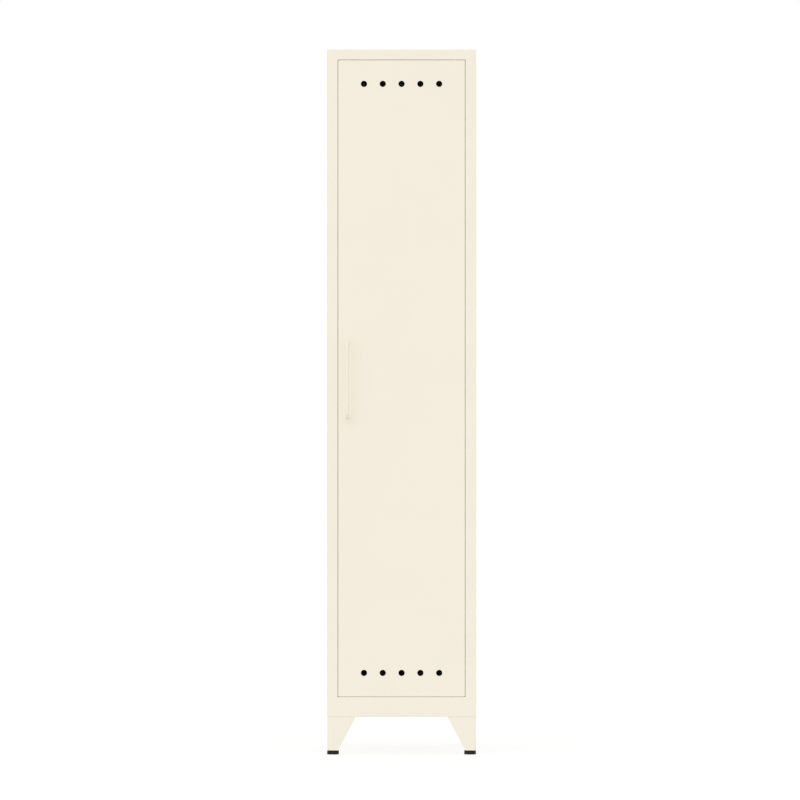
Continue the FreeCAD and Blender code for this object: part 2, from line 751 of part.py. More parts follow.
def catch_housing(z_middle):
    """Plastic catch body on the front of the stop lip, with a pocket for the magnet."""
    side = CATCH_WIDTH / 2
    body = catch_block(CATCH_X - side, CATCH_X + side, CATCH_Y_FACE, Y_STOP, z_middle, CATCH_LENGTH)
    depth = Y_STOP - CATCH_Y_FACE
    corners = [edge for edge in body.Edges if abs(edge.BoundBox.YLength - depth) < SAME]
    body = body.makeFillet(CATCH_ROUNDING, corners)
    pocket = catch_block(
        CATCH_X - CATCH_STACK / 2,
        CATCH_X + CATCH_STACK / 2,
        CATCH_Y_FACE - OVERCUT,
        CATCH_Y_POCKET,
        z_middle,
        CATCH_MAGNET_LENGTH,
    )
    tools = [pocket]
    for z in catch_screw_heights():
        face = (CATCH_X, CATCH_Y_FACE, z)
        tools.append(drill(CATCH_SCREW, depth, face, BACKWARD))
        tools.append(drill(CATCH_SCREW_HEAD, CATCH_SCREW_HEAD_HEIGHT - OVERCUT, face, BACKWARD))
    return body.cut(tools)


def catch_magnets():
    """Ferrite blocks, one in each catch."""
    half = CATCH_MAGNET / 2
    return group(
        [
            catch_block(
                CATCH_X - half, CATCH_X + half, CATCH_Y_FACE, CATCH_Y_POCKET, z, CATCH_MAGNET_LENGTH
            )
            for z in (LOWER_CATCH_Z, UPPER_CATCH_Z)
        ]
    )


def catch_pole_plates():
    """Steel plates on both sides of each magnet, which draw the door's lip."""
    return group(
        [
            catch_block(x, x + CATCH_POLE, CATCH_Y_POLE, CATCH_Y_POCKET, z, CATCH_MAGNET_LENGTH)
            for z in (LOWER_CATCH_Z, UPPER_CATCH_Z)
            for x in (CATCH_X - CATCH_STACK / 2, CATCH_X + CATCH_MAGNET / 2)
        ]
    )


def catch_screws():
    """Screws through the catches and the stop lip."""
    head_seat = CATCH_Y_FACE + CATCH_SCREW_HEAD_HEIGHT
    length = Y_STOP + SHEET - head_seat + CATCH_SCREW_TAIL
    screw = pan_head_screw(CATCH_SCREW, length, CATCH_SCREW_HEAD, CATCH_SCREW_HEAD_HEIGHT)
    return group([placed(screw, (CATCH_X, head_seat, z), BACKWARD) for z in catch_screw_heights()])


def door_buffers():
    """Rubber buffers on the stop lip, evenly spaced between the catches."""
    height = STOP_SPACE - CATCH_AIR_GAP
    dome = rod(BUFFER_DIAMETER, height, (0, 0, 0))
    rim = [edge for edge in dome.Edges if abs(edge.BoundBox.ZMin - height) < SAME]
    dome = dome.makeFillet(BUFFER_ROUNDING, rim)
    spacing = (UPPER_CATCH_Z - LOWER_CATCH_Z) / (BUFFER_COUNT + 1)
    return group(
        [
            placed(dome, (CATCH_X, Y_STOP, LOWER_CATCH_Z + spacing * number), FRONTWARD)
            for number in range(1, BUFFER_COUNT + 1)
        ]
    )


# Shelf and coat rail


def shelf_screw_places():
    """Where the shelf is screwed to its supports, as (x, y)."""
    return [
        (x, y)
        for x in (SHELF_SCREW_X, -SHELF_SCREW_X)
        for y in (
            SUPPORT_Y_FRONT + SHELF_SCREW_END_DISTANCE,
            SUPPORT_Y_BACK - SHELF_SCREW_END_DISTANCE,
        )
    ]


def hanger_bolt_places():
    """Where the rail hangers are bolted to the shelf, as (x, y)."""
    x = HANGER_X + HANGER_GAUGE + HANGER_TAB / 2
    offset = HANGER_WIDTH / 2 - HANGER_BOLT_EDGE_DISTANCE
    return [(x * side, RAIL_Y + offset * end) for side in (1, -1) for end in (-1, 1)]


def hat_shelf():
    """Shelf tray with folded edges and lips, open underneath."""
    outer = rounded_block(
        (SHELF_X_LEFT, SHELF_Y_FRONT, SHELF_Z_LOW),
        (-SHELF_X_LEFT, SHELF_Y_BACK, SHELF_Z_TOP),
        OUTER_BEND,
    )
    inner = rounded_block(
        (SHELF_X_LEFT + SHEET, SHELF_Y_FRONT + SHEET, SHELF_Z_LOW + SHEET),
        (-SHELF_X_LEFT - SHEET, SHELF_Y_BACK - SHEET, SHELF_Z_TOP - SHEET),
        BEND_RADIUS,
    )
    window = block(
        (SHELF_X_LEFT + SHELF_LIP, SHELF_Y_FRONT + SHELF_LIP, SHELF_Z_LOW - OVERCUT),
        (-SHELF_X_LEFT - SHELF_LIP, SHELF_Y_BACK - SHELF_LIP, SHELF_Z_LOW + SHEET + OVERCUT),
    )
    screw_holes = [drill(SHELF_SCREW, SHEET, (x, y, SHELF_Z_LOW)) for x, y in shelf_screw_places()]
    bolt_holes = [drill(HANGER_BOLT, SHEET, (x, y, HANGER_Z_TOP)) for x, y in hanger_bolt_places()]
    return outer.cut(inner).cut([window] + screw_holes + bolt_holes)


def left_shelf_support():
    """Angle on the side wall that the shelf lies on."""
    wall = X_LEFT + SHEET
    seat = SHELF_Z_LOW - SUPPORT_GAUGE
    ledge = block(
        (wall, SUPPORT_Y_FRONT, seat), (wall + SUPPORT_LEG, SUPPORT_Y_BACK, SHELF_Z_LOW)
    )
    upright = block(
        (wall, SUPPORT_Y_FRONT, SHELF_Z_LOW - SUPPORT_LEG),
        (wall + SUPPORT_GAUGE, SUPPORT_Y_BACK, SHELF_Z_LOW),
    )
    holes = [drill(SHELF_SCREW, SUPPORT_GAUGE, (x, y, seat)) for x, y in shelf_screw_places()]
    return joined([ledge, upright]).cut(holes)


def right_shelf_support():
    return mirrored_across(left_shelf_support())


def shelf_screws():
    """Screws from below, through the supports into the shelf's lips."""
    screw = pan_head_screw(
        SHELF_SCREW, SHELF_SCREW_LENGTH, SHELF_SCREW_HEAD, SHELF_SCREW_HEAD_HEIGHT
    )
    seat = SHELF_Z_LOW - SUPPORT_GAUGE
    return group([placed(screw, (x, y, seat), UP) for x, y in shelf_screw_places()])


def left_rail_hanger():
    """Bracket under the shelf: a tab bolted to it, and a plate that the rail passes through."""
    half = HANGER_WIDTH / 2
    tab_low = HANGER_Z_TOP - HANGER_GAUGE
    tab = block(
        (HANGER_X, RAIL_Y - half, tab_low),
        (HANGER_X + HANGER_GAUGE + HANGER_TAB, RAIL_Y + half, HANGER_Z_TOP),
    )
    plate = block(
        (HANGER_X, RAIL_Y - half, RAIL_Z), (HANGER_X + HANGER_GAUGE, RAIL_Y + half, HANGER_Z_TOP)
    )
    rail_start = (HANGER_X, RAIL_Y, RAIL_Z)
    eye = rod(HANGER_WIDTH, HANGER_GAUGE, rail_start, RIGHTWARD)
    rail_hole = drill(RAIL_DIAMETER + 2 * RAIL_FIT, HANGER_GAUGE, rail_start, RIGHTWARD)
    bolt_holes = [drill(HANGER_BOLT, HANGER_GAUGE, (x, y, tab_low)) for x, y in hanger_bolt_places()]
    return joined([tab, plate, eye]).cut([rail_hole] + bolt_holes)


def right_rail_hanger():
    return mirrored_across(left_rail_hanger())


def coat_rail():
    """Round tube between the hangers."""
    start = (RAIL_X_LEFT, RAIL_Y, RAIL_Z)
    length = -2 * RAIL_X_LEFT
    bore = drill(RAIL_DIAMETER - 2 * RAIL_WALL, length, start, RIGHTWARD)
    return rod(RAIL_DIAMETER, length, start, RIGHTWARD).cut(bore)


def rail_end_caps():
    """Plastic plugs in the rail's ends."""
    plug_diameter = RAIL_DIAMETER - 2 * RAIL_WALL - 2 * RAIL_FIT
    face = (RAIL_X_LEFT - RAIL_CAP_FLANGE, RAIL_Y, RAIL_Z)
    flange = rod(RAIL_DIAMETER, RAIL_CAP_FLANGE, face, RIGHTWARD)
    plug = rod(plug_diameter, RAIL_CAP_FLANGE + RAIL_CAP_PLUG, face, RIGHTWARD)
    cap = joined([flange, plug])
    return group([cap, mirrored_across(cap)])


def rail_hanger_bolts():
    """Round-headed bolts down through the shelf."""
    length = SHEET + HANGER_GAUGE + HANGER_NUT_HEIGHT + HANGER_BOLT_TAIL
    bolt = pan_head_screw(HANGER_BOLT, length, HANGER_BOLT_HEAD, HANGER_BOLT_HEAD_HEIGHT)
    return group([placed(bolt, (x, y, SHELF_Z_TOP), DOWN) for x, y in hanger_bolt_places()])


def rail_hanger_nuts():
    """Nuts under the hangers' tabs."""
    nut = hexagon_nut(HANGER_NUT_ACROSS, HANGER_NUT_HEIGHT, HANGER_BOLT)
    seat = HANGER_Z_TOP - HANGER_GAUGE - HANGER_NUT_HEIGHT
    return group([placed(nut, (x, y, seat), UP) for x, y in hanger_bolt_places()])


# Legs and feet


def corner_plate(x, y, low, gauge):
    """A right-angled plate with its inner corner cut away diagonally."""
    outline = [
        (0, 0),
        (LEG_FLANGE, 0),
        (LEG_FLANGE, LEG_FLANGE_ARM),
        (LEG_FLANGE_ARM, LEG_FLANGE),
        (0, LEG_FLANGE),
        (0, 0),
    ]
    corners = [Vector(x + along, y + across, low) for along, across in outline]
    return Part.Face(Part.makePolygon(corners)).extrude(UP * gauge)


def leg_bolt_places(side_x=-1, side_y=-1):
    """Where one leg is bolted to the base, as (x, y)."""
    return [
        (
            side_x * (CABINET_WIDTH / 2 - from_side),
            Y_MIDDLE + side_y * (CABINET_DEPTH / 2 - from_face),
        )
        for from_side, from_face in ((BOLT_ALONG, BOLT_IN), (BOLT_IN, BOLT_ALONG))
    ]


def all_leg_bolt_places():
    return [place for name, side_x, side_y in CORNERS for place in leg_bolt_places(side_x, side_y)]


def leg_bolt_hole(x, y, low, gauge):
    """Tool for one leg bolt's hole through a plate."""
    return drill(BOLT_DIAMETER + 2 * BOLT_HOLE_CLEARANCE, gauge, (x, y, low))


def leg_tapers():
    """Tools that slant the leg's two free edges from its shoulder down to its foot."""
    shoulder = Z_BASE - LEG_SHOULDER
    low = Z_LEG_FOOT - OVERCUT
    slope = (LEG_TOP_WIDTH - LEG_FOOT_WIDTH) / (shoulder - Z_LEG_FOOT)
    outline = [
        (LEG_TOP_WIDTH, shoulder),
        (LEG_TOP_WIDTH + OVERCUT, shoulder),
        (LEG_TOP_WIDTH + OVERCUT, low),
        (LEG_FOOT_WIDTH - slope * OVERCUT, low),
        (LEG_TOP_WIDTH, shoulder),
    ]
    front = Part.makePolygon([Vector(LEG_X + along, LEG_Y - OVERCUT, z) for along, z in outline])
    side = Part.makePolygon([Vector(LEG_X - OVERCUT, LEG_Y + along, z) for along, z in outline])
    depth = LEG_GAUGE + 2 * OVERCUT
    return [Part.Face(front).extrude(BACKWARD * depth), Part.Face(side).extrude(RIGHTWARD * depth)]


def leg():
    """Front left leg: an angle bent from plate, tapered on both faces, with a bolting flange."""
    path = [(LEG_X, LEG_Y + LEG_TOP_WIDTH), (LEG_X, LEG_Y), (LEG_X + LEG_TOP_WIDTH, LEG_Y)]
    angle = folded_sheet(path, LEG_GAUGE, LEG_BEND, plan_at(Z_LEG_FOOT), UP * LEG_RISE)
    flange_low = Z_BASE - LEG_GAUGE
    flange = corner_plate(
        LEG_X + LEG_FLANGE_EDGE, LEG_Y + LEG_FLANGE_EDGE, flange_low, LEG_GAUGE
    )
    front_strip = block(
        (LEG_X + LEG_FLANGE_EDGE, LEG_Y + LEG_GAUGE, flange_low),
        (LEG_X + LEG_FLANGE_EDGE + LEG_FLANGE, LEG_Y + LEG_FLANGE_EDGE, Z_BASE),
    )
    side_strip = block(
        (LEG_X + LEG_GAUGE, LEG_Y + LEG_FLANGE_EDGE, flange_low),
        (LEG_X + LEG_FLANGE_EDGE, LEG_Y + LEG_FLANGE_EDGE + LEG_FLANGE, Z_BASE),
    )
    holes = [leg_bolt_hole(x, y, flange_low, LEG_GAUGE) for x, y in leg_bolt_places()]
    return joined([angle, flange, front_strip, side_strip]).cut(leg_tapers() + holes)


def corner_plates():
    """Stiff plates inside the base's corners, above its flange."""
    offset = OUTER_BEND + CORNER_PLATE_CLEARANCE
    low = Z_BASE + SHEET
    plate = corner_plate(X_LEFT + offset, Y_FRONT + offset, low, CORNER_PLATE_GAUGE)
    holes = [leg_bolt_hole(x, y, low, CORNER_PLATE_GAUGE) for x, y in leg_bolt_places()]
    return at_all_corners(plate.cut(holes))


def leg_bolts():
    """Hexagon bolts from below, through the leg, the base and the corner plate."""
    length = LEG_GAUGE + SHEET + CORNER_PLATE_GAUGE + BOLT_NUT_HEIGHT + BOLT_TAIL
    head = hexagon_bar(BOLT_HEAD_ACROSS, BOLT_HEAD_HEIGHT, (0, 0, -BOLT_HEAD_HEIGHT))
    bolt = joined([head, rod(BOLT_DIAMETER, length, (0, 0, 0))])
    seat = Z_BASE - LEG_GAUGE
    return group([placed(bolt, (x, y, seat), UP) for x, y in all_leg_bolt_places()])


def leg_nuts():
    """Nuts on top of the corner plates."""
    nut = hexagon_nut(BOLT_HEAD_ACROSS, BOLT_NUT_HEIGHT, BOLT_DIAMETER)
    return group([placed(nut, (x, y, CORNER_PLATE_TOP), UP) for x, y in all_leg_bolt_places()])


def stud_hole(low, thickness):
    """Tool for the levelling stud's hole."""
    return drill(STUD_DIAMETER + 2 * STUD_THREAD_CLEARANCE, thickness, (PAD_X, PAD_Y, low))


def foot_plates():
    """Plates welded across the legs' lower ends, drilled for the levelling studs."""
    far_x = LEG_X + LEG_FOOT_WIDTH
    far_y = LEG_Y + LEG_FOOT_WIDTH
    plate = block(
        (LEG_X + LEG_GAUGE, LEG_Y + LEG_FLANGE_EDGE, Z_LEG_FOOT), (far_x, far_y, FOOT_PLATE_TOP)
    )
    strip = block(
        (LEG_X + LEG_FLANGE_EDGE, LEG_Y + LEG_GAUGE, Z_LEG_FOOT), (far_x, far_y, FOOT_PLATE_TOP)
    )
    return at_all_corners(joined([plate, strip]).cut(stud_hole(Z_LEG_FOOT, FOOT_PLATE_GAUGE)))


def weld_nuts():
    """Nuts welded on the foot plates, which the studs screw into."""
    nut = hexagon_bar(WELD_NUT_ACROSS, WELD_NUT_HEIGHT, (PAD_X, PAD_Y, FOOT_PLATE_TOP))
    return at_all_corners(nut.cut(stud_hole(FOOT_PLATE_TOP, WELD_NUT_HEIGHT)))


def foot_pad():
    """Front left plastic foot, snapped over the disc at the stud's lower end."""
    pad = Part.makeCone(
        PAD_BASE_DIAMETER / 2, PAD_TOP_DIAMETER / 2, PAD_HEIGHT, Vector(PAD_X, PAD_Y, 0)
    )
    floor = (PAD_X, PAD_Y, PAD_SKIN)
    socket = rod(
        STUD_DISC_DIAMETER + 2 * STUD_DISC_CLEARANCE,
        STUD_DISC_HEIGHT + 2 * STUD_DISC_CLEARANCE,
        floor,
    )
    neck = rod(STUD_DIAMETER + 2 * STUD_NECK_CLEARANCE, PAD_HEIGHT, floor)
    return pad.cut([socket, neck])


def foot_stud():
    """Front left levelling screw, with a disc below and a screwdriver slot at its top."""
    foot = (PAD_X, PAD_Y, STUD_DISC_LOW)
    disc = rod(STUD_DISC_DIAMETER, STUD_DISC_HEIGHT, foot)
    shank = rod(STUD_DIAMETER, STUD_LENGTH, foot)
    top = STUD_DISC_LOW + STUD_LENGTH
    slot = block(
        (PAD_X - STUD_DIAMETER, PAD_Y - STUD_SLOT_WIDTH / 2, top - STUD_SLOT_DEPTH),
        (PAD_X + STUD_DIAMETER, PAD_Y + STUD_SLOT_WIDTH / 2, top + OVERCUT),
    )
    return joined([disc, shank]).cut(slot)


# The pieces that are drawn where they are used, each by the function of its name
PIECES = (
    base_pan,
    left_side_panel,
    right_side_panel,
    top_cap,
    back_panel,
    door_panel,
    door_stiffener,
    lower_pivot_block,
    upper_pivot_block,
    lower_pivot_pin,
    upper_pivot_pin,
    handle,
    handle_washers,
    handle_screws,
    catch_magnets,
    catch_pole_plates,
    catch_screws,
    door_buffers,
    hat_shelf,
    left_shelf_support,
    right_shelf_support,
    shelf_screws,
    coat_rail,
    rail_end_caps,
    left_rail_hanger,
    right_rail_hanger,
    rail_hanger_bolts,
    rail_hanger_nuts,
    corner_plates,
    leg_bolts,
    leg_nuts,
    foot_plates,
    weld_nuts,
)


def pieces():
    """Every separate piece of the locker, by name."""
    made = {draw.__name__: draw() for draw in PIECES}
    made["lower_catch_housing"] = catch_housing(LOWER_CATCH_Z)
    made["upper_catch_housing"] = catch_housing(UPPER_CATCH_Z)
    for draw in (leg, foot_pad, foot_stud):
        shape = draw()
        for name, side_x, side_y in CORNERS:
            made[f"{name}_{draw.__name__}"] = at_corner(shape, side_x, side_y)
    return made


def main():
    os.makedirs("parts", exist_ok=True)
    for name, shape in pieces().items():
        shape.exportStep(f"parts/{name}.step")


if __name__ == "__main__":
    main()
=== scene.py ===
import json
import math

import bmesh
import bpy
from bpy.props import FloatProperty, FloatVectorProperty, PointerProperty
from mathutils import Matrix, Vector

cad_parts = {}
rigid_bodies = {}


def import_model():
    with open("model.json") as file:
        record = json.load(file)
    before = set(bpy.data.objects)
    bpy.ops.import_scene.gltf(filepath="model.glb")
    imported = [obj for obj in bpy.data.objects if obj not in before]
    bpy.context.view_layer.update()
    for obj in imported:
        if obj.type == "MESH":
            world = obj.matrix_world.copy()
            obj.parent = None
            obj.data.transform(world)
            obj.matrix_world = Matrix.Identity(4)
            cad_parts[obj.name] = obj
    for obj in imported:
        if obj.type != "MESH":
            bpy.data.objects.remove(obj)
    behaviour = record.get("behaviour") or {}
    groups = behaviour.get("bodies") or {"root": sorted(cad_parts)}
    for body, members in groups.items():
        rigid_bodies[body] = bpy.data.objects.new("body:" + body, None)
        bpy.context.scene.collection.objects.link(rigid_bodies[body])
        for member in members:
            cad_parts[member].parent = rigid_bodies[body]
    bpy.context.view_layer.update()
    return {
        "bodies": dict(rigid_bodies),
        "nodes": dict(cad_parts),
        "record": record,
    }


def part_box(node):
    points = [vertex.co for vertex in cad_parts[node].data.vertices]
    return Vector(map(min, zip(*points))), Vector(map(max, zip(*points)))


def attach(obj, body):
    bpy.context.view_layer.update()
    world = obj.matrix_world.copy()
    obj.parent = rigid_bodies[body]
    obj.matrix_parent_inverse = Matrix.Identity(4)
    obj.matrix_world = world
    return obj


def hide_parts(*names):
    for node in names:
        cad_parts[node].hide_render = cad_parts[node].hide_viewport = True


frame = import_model()

bl_info = {
    "name": "Steel locker",
    "version": (1, 0, 0),
    "blender": (4, 5, 0),
    "location": "View3D > Sidebar > Locker",
    "description": "Finishes, hardware, welds and studio for a tall steel locker",
    "category": "Object",
}

MM = 0.001
CORNERS = ("front_left", "front_right", "rear_left", "rear_right")
SLOT_OF = {row["node"]: row["material_slot"] for row in frame["record"]["subparts"]}

# Kinds of node that are used often
MATH = "ShaderNodeMath"
NOISE = "ShaderNodeTexNoise"
RANGE = "ShaderNodeMapRange"
MIX = "ShaderNodeMix"
MIX_FACTOR, MIX_NUMBER_A, MIX_NUMBER_B, MIX_COLOUR_A, MIX_COLOUR_B = 0, 2, 3, 6, 7
MIX_COLOUR = 2

# Roundness of turned, bent and threaded pieces, and of the many small welds
HEXAGON_SIDES = 6
ROUND_STEPS = 48
BEND_STEPS = 20
THREAD_STEPS = 32
RINGS_PER_TURN = 8
WELD_RING_STEPS = 14
WELD_RIM_STEPS = 4
RIPPLE_SEGMENTS = 8
RIPPLE_RINGS = 5
SHARP_ANGLE = math.radians(28)
MERGE_DISTANCE = 0.001 * MM

# An ISO thread's depth, on the diameter, and the flats at its root and crest, as shares of the pitch
THREAD_DEPTH = 1.227
THREAD_FLATS = (0.06, 0.44)

# Radius of the circle that a chamfer leaves on a hexagon's face, as a share of the width across its flats
CHAMFER_CIRCLE = 0.475

# Length of what cuts a nut's bore, as a share of the nut's height
BORE_CUTTER = 4.0

# Most of a noise pattern lies between these values
NOISE_LOW, NOISE_HIGH = 0.3, 0.7


# Values that a user may change


def linear(code):
    """A hex colour, as it looks on the screen, as linear red, green and blue."""
    parts = [int(code[start : start + 2], 16) / 255 for start in (1, 3, 5)]
    return tuple(part / 12.92 if part <= 0.04045 else ((part + 0.055) / 1.055) ** 2.4 for part in parts)


def colour(name, description, code):
    """A colour property, given as a hex colour."""
    return FloatVectorProperty(
        name=name, description=description, default=linear(code), size=3, min=0, max=1, subtype="COLOR"
    )


def length(name, description, default):
    """A length property, in metres."""
    return FloatProperty(name=name, description=description, default=default, min=0, unit="LENGTH")


def share(name, description, default):
    """A property between nothing and all."""
    return FloatProperty(
        name=name, description=description, default=default, min=0, max=1, subtype="FACTOR"
    )


def level(name, description, default):
    """A property from nothing upwards, without a unit."""
    return FloatProperty(name=name, description=description, default=default, min=0)


def lamp_angle(name, description, degrees):
    """An angle property, given in degrees."""
    return FloatProperty(
        name=name, description=description, default=math.radians(degrees), min=0, unit="ROTATION"
    )


def along_axes(name, description, default):
    """A property with a value along each axis."""
    return FloatVectorProperty(name=name, description=description, default=default, size=3)


class LockerFinishes(bpy.types.PropertyGroup):
    """Colours and gloss of the locker's finishes."""

    coat: colour("Powder coat", "Colour of the sheet metal, legs and handle", "#F3ECDC")
    coat_roughness: share("Powder coat roughness", "Middle roughness of the satin powder coat", 0.42)
    zinc: colour("Zinc plate", "Colour of screws, nuts, pins and hangers", "#C6CACC")
    zinc_tint: colour("Zinc tint", "Straw tint that plated parts show in places", "#CFCBBE")
    chrome: colour("Chrome", "Colour of the coat rail", "#D9DBDC")
    plastic: colour("Black plastic", "Colour of the feet and the rail's end caps", "#1A1918")
    nylon: colour("Nylon", "Colour of the pivot blocks and catch housings", "#E6E2D6")
    rubber: colour("Rubber", "Colour of the door buffers", "#565654")
    ferrite: colour("Ferrite", "Colour of the catch magnets", "#3B3B3E")


class LockerSizes(bpy.types.PropertyGroup):
    """Sizes of what is drawn finer than in the frame."""

    handle_bend: length("Handle bend", "Radius of the handle's bends, at the bar's middle", 14 * MM)
    foot_taper: length("Foot taper", "How much narrower a foot is at its top, on each side", 0.3 * MM)
    foot_rounding: length("Foot rounding", "Rounding of a foot's moulded edges", 0.7 * MM)
    stud_diameter: length("Stud", "Diameter of the levelling studs", 8 * MM)
    stud_pitch: length("Stud pitch", "Thread pitch of the levelling studs", 1.25 * MM)
    bolt_across: length("Leg bolt head", "Width of the leg bolts' heads and nuts across the flats", 10 * MM)
    bolt_head: length("Leg bolt head height", "Height of the leg bolts' heads", 4 * MM)
    bolt_diameter: length("Leg bolt", "Diameter of the leg bolts", 6 * MM)
    bolt_pitch: length("Leg bolt pitch", "Thread pitch of the leg bolts", 1 * MM)
    bolt_step: length("Leg bolt step", "From a leg's outer bolt line in to its other bolt", 37 * MM)
    hanger_nut_across: length("Hanger nut", "Width of the hangers' nuts across the flats", 8 * MM)
    hanger_bolt: length("Hanger bolt", "Diameter of the hangers' bolts", 5 * MM)
    weld_nut_across: length("Weld nut", "Width of the feet's nuts across the flats", 13 * MM)
    foot_plate: length("Foot plate", "Side of the square plates in the legs' lower ends", 24.4 * MM)
    leg_bend: length("Leg bend", "Inner radius of the legs' bend", 2 * MM)
    sheet: length("Sheet", "Gauge of the cabinet's and the door's sheets", 0.8 * MM)
    support_gauge: length("Shelf support", "Gauge of the shelf supports", 1.5 * MM)
    weld_pitch: length("Spot weld pitch", "Distance between spot welds", 60 * MM)
    weld_ring: length("Spot weld ring", "Radius of the ring that a spot weld leaves", 2.6 * MM)
    weld_wire: length("Spot weld rim", "Radius of that ring's own section", 0.45 * MM)
    bead_pitch: length("Bead pitch", "Distance between the ripples of a weld bead", 1.2 * MM)
    bead_radius: length("Bead radius", "Radius of a weld bead's ripples", 1.5 * MM)


class StudioSettings(bpy.types.PropertyGroup):
    """Camera and light."""

    distance: length("Camera distance", "From the camera to the door's face", 16.0)
    picture: length("Picture width", "What the picture takes in at the door's face", 2.0422)
    aim_x: FloatProperty(
        name="Aim across", description="Camera's place across", default=-0.004, unit="LENGTH"
    )
    aim_z: length("Aim height", "Camera's height over the floor", 0.9052)
    sky: level("Sky", "Even part of the soft light", 1.035)
    sky_lean: along_axes("Sky lean", "Where the soft light is stronger", (-0.05, -0.10, 0.12))
    sky_hollow: along_axes("Sky hollow", "How much weaker it is along each axis", (0.3, 0.5, 0.3))
    hollow_focus: level("Hollow focus", "How narrow the hollows are", 4)
    key: level("Key", "Strength of the key light", 0.1)
    key_size: lamp_angle("Key size", "Angle that the key light fills", 18)
    key_from: along_axes("Key from", "Direction to the key light", (-0.34, -0.57, 0.75))
    fill: level("Fill", "Strength of the light over the camera", 0.41)
    fill_size: lamp_angle("Fill size", "Angle that the fill light fills", 1.5)
    fill_from: along_axes("Fill from", "Direction to the fill light", (0, -0.985, 0.174))
    paper: share("Paper", "How much of the light on the floor it throws back", 0.17)
    paper_glow: share("Paper glow", "How much the floor is lifted to white, for the camera", 0.85)


# Node trees


def add_node(tree, kind, inputs=None, **settings):
    """Adds a node with its settings. An input is a value, a socket or node to link, or a list of these."""
    node = tree.nodes.new(kind)
    for setting, value in settings.items():
        setattr(node, setting, value)
    for key, value in (inputs or {}).items():
        for source in value if isinstance(value, list) else [value]:
            if isinstance(source, bpy.types.Node):
                source = source.outputs[0]
            if isinstance(source, bpy.types.NodeSocket):
                tree.links.new(source, node.inputs[key])
            else:
                node.inputs[key].default_value = source
    return node


def per_metre(millimetres):
    """A pattern's scale, from the real size of what repeats in it."""
    return 1000 / millimetres


def new_material(name):
    """An empty material: itself, its tree, its shader and the piece's own coordinates."""
    material = bpy.data.materials.new(name)
    material.use_nodes = True
    tree = material.node_tree
    tree.nodes.clear()
    shader = add_node(tree, "ShaderNodeBsdfPrincipled")
    add_node(tree, "ShaderNodeOutputMaterial", {"Surface": shader})
    place = add_node(tree, "ShaderNodeTexCoord").outputs["Object"]
    return material, tree, shader, place


def varied(tree, shader, pattern, dark, light):
    """Lets the shader's colour drift between two colours with a pattern."""
    mixed = add_node(
        tree,
        MIX,
        {MIX_FACTOR: pattern, MIX_COLOUR_A: (*dark, 1), MIX_COLOUR_B: (*light, 1)},
        data_type="RGBA",
    )
    tree.links.new(mixed.outputs[MIX_COLOUR], shader.inputs["Base Color"])


def rubbed(tree, shader, pattern, low, high):
    """Lets the shader's roughness drift between two values with a pattern."""
    inputs = {
        "Value": pattern,
        "From Min": NOISE_LOW,
        "From Max": NOISE_HIGH,
        "To Min": low,
        "To Max": high,
    }
    tree.links.new(add_node(tree, RANGE, inputs).outputs[0], shader.inputs["Roughness"])


def embossed(tree, shader, pattern, height, under=None):
    """Raises a pattern to a height in metres, on top of another relief if there is one."""
    inputs = {"Strength": 1.0, "Distance": height, "Height": pattern}
    if under:
        inputs["Normal"] = under
    relief = add_node(tree, "ShaderNodeBump", inputs)
    tree.links.new(relief.outputs[0], shader.inputs["Normal"])
    return relief


def shaded(colour_value, factor):
    """A colour made darker or lighter."""
    return tuple(part * factor for part in colour_value)


# Finishes


def cream_powder_coat(finishes):
    """Polyester powder, sprayed on steel and baked: an even satin film with a fine orange peel,
    on sheets that are never quite flat, so that reflections waver a little."""
    material, tree, shader, place = new_material("cream_powder_coat")
    film = add_node(tree, NOISE, {"Vector": place, "Scale": per_metre(160), "Detail": 3.0})
    varied(tree, shader, film, shaded(finishes.coat, 0.985), shaded(finishes.coat, 1.012))
    flow = add_node(tree, NOISE, {"Vector": place, "Scale": per_metre(26), "Detail": 4.0})
    middle = finishes.coat_roughness
    rubbed(tree, shader, flow, low=middle - 0.05, high=middle + 0.05)
    sheet = add_node(tree, NOISE, {"Vector": place, "Scale": per_metre(210), "Detail": 1.0})
    wave = embossed(tree, shader, sheet, height=0.5 * MM)
    # Real orange peel repeats every millimetre or two; it is drawn a little coarser, to show
    peel = add_node(tree, NOISE, {"Vector": place, "Scale": per_metre(2.6), "Detail": 2.0})
    embossed(tree, shader, peel, height=0.03 * MM, under=wave)
    return material


def bright_zinc_plate(finishes):
    """Electroplated zinc with a clear passivate: a soft metallic grey, bluish with straw patches."""
    material, tree, shader, place = new_material("bright_zinc_plate")
    shader.inputs["Metallic"].default_value = 1.0
    patches = add_node(tree, NOISE, {"Vector": place, "Scale": per_metre(9), "Detail": 3.0})
    varied(tree, shader, patches, finishes.zinc, finishes.zinc_tint)
    grain = add_node(tree, NOISE, {"Vector": place, "Scale": per_metre(1.6), "Detail": 4.0})
    rubbed(tree, shader, grain, low=0.26, high=0.42)
    embossed(tree, shader, grain, height=0.01 * MM)
    return material


def chrome_plated_tube(finishes):
    """Chrome over drawn tube: a near mirror, with faint lines along the tube from its drawing."""
    material, tree, shader, place = new_material("chrome_plated_tube")
    shader.inputs["Metallic"].default_value = 1.0
    along = add_node(tree, "ShaderNodeMapping", {"Vector": place, "Scale": (0.01, 1.0, 1.0)})
    lines = add_node(tree, NOISE, {"Vector": along, "Scale": per_metre(0.9), "Detail": 3.0})
    varied(tree, shader, lines, shaded(finishes.chrome, 0.94), finishes.chrome)
    rubbed(tree, shader, lines, low=0.06, high=0.16)
    embossed(tree, shader, lines, height=0.004 * MM)
    return material


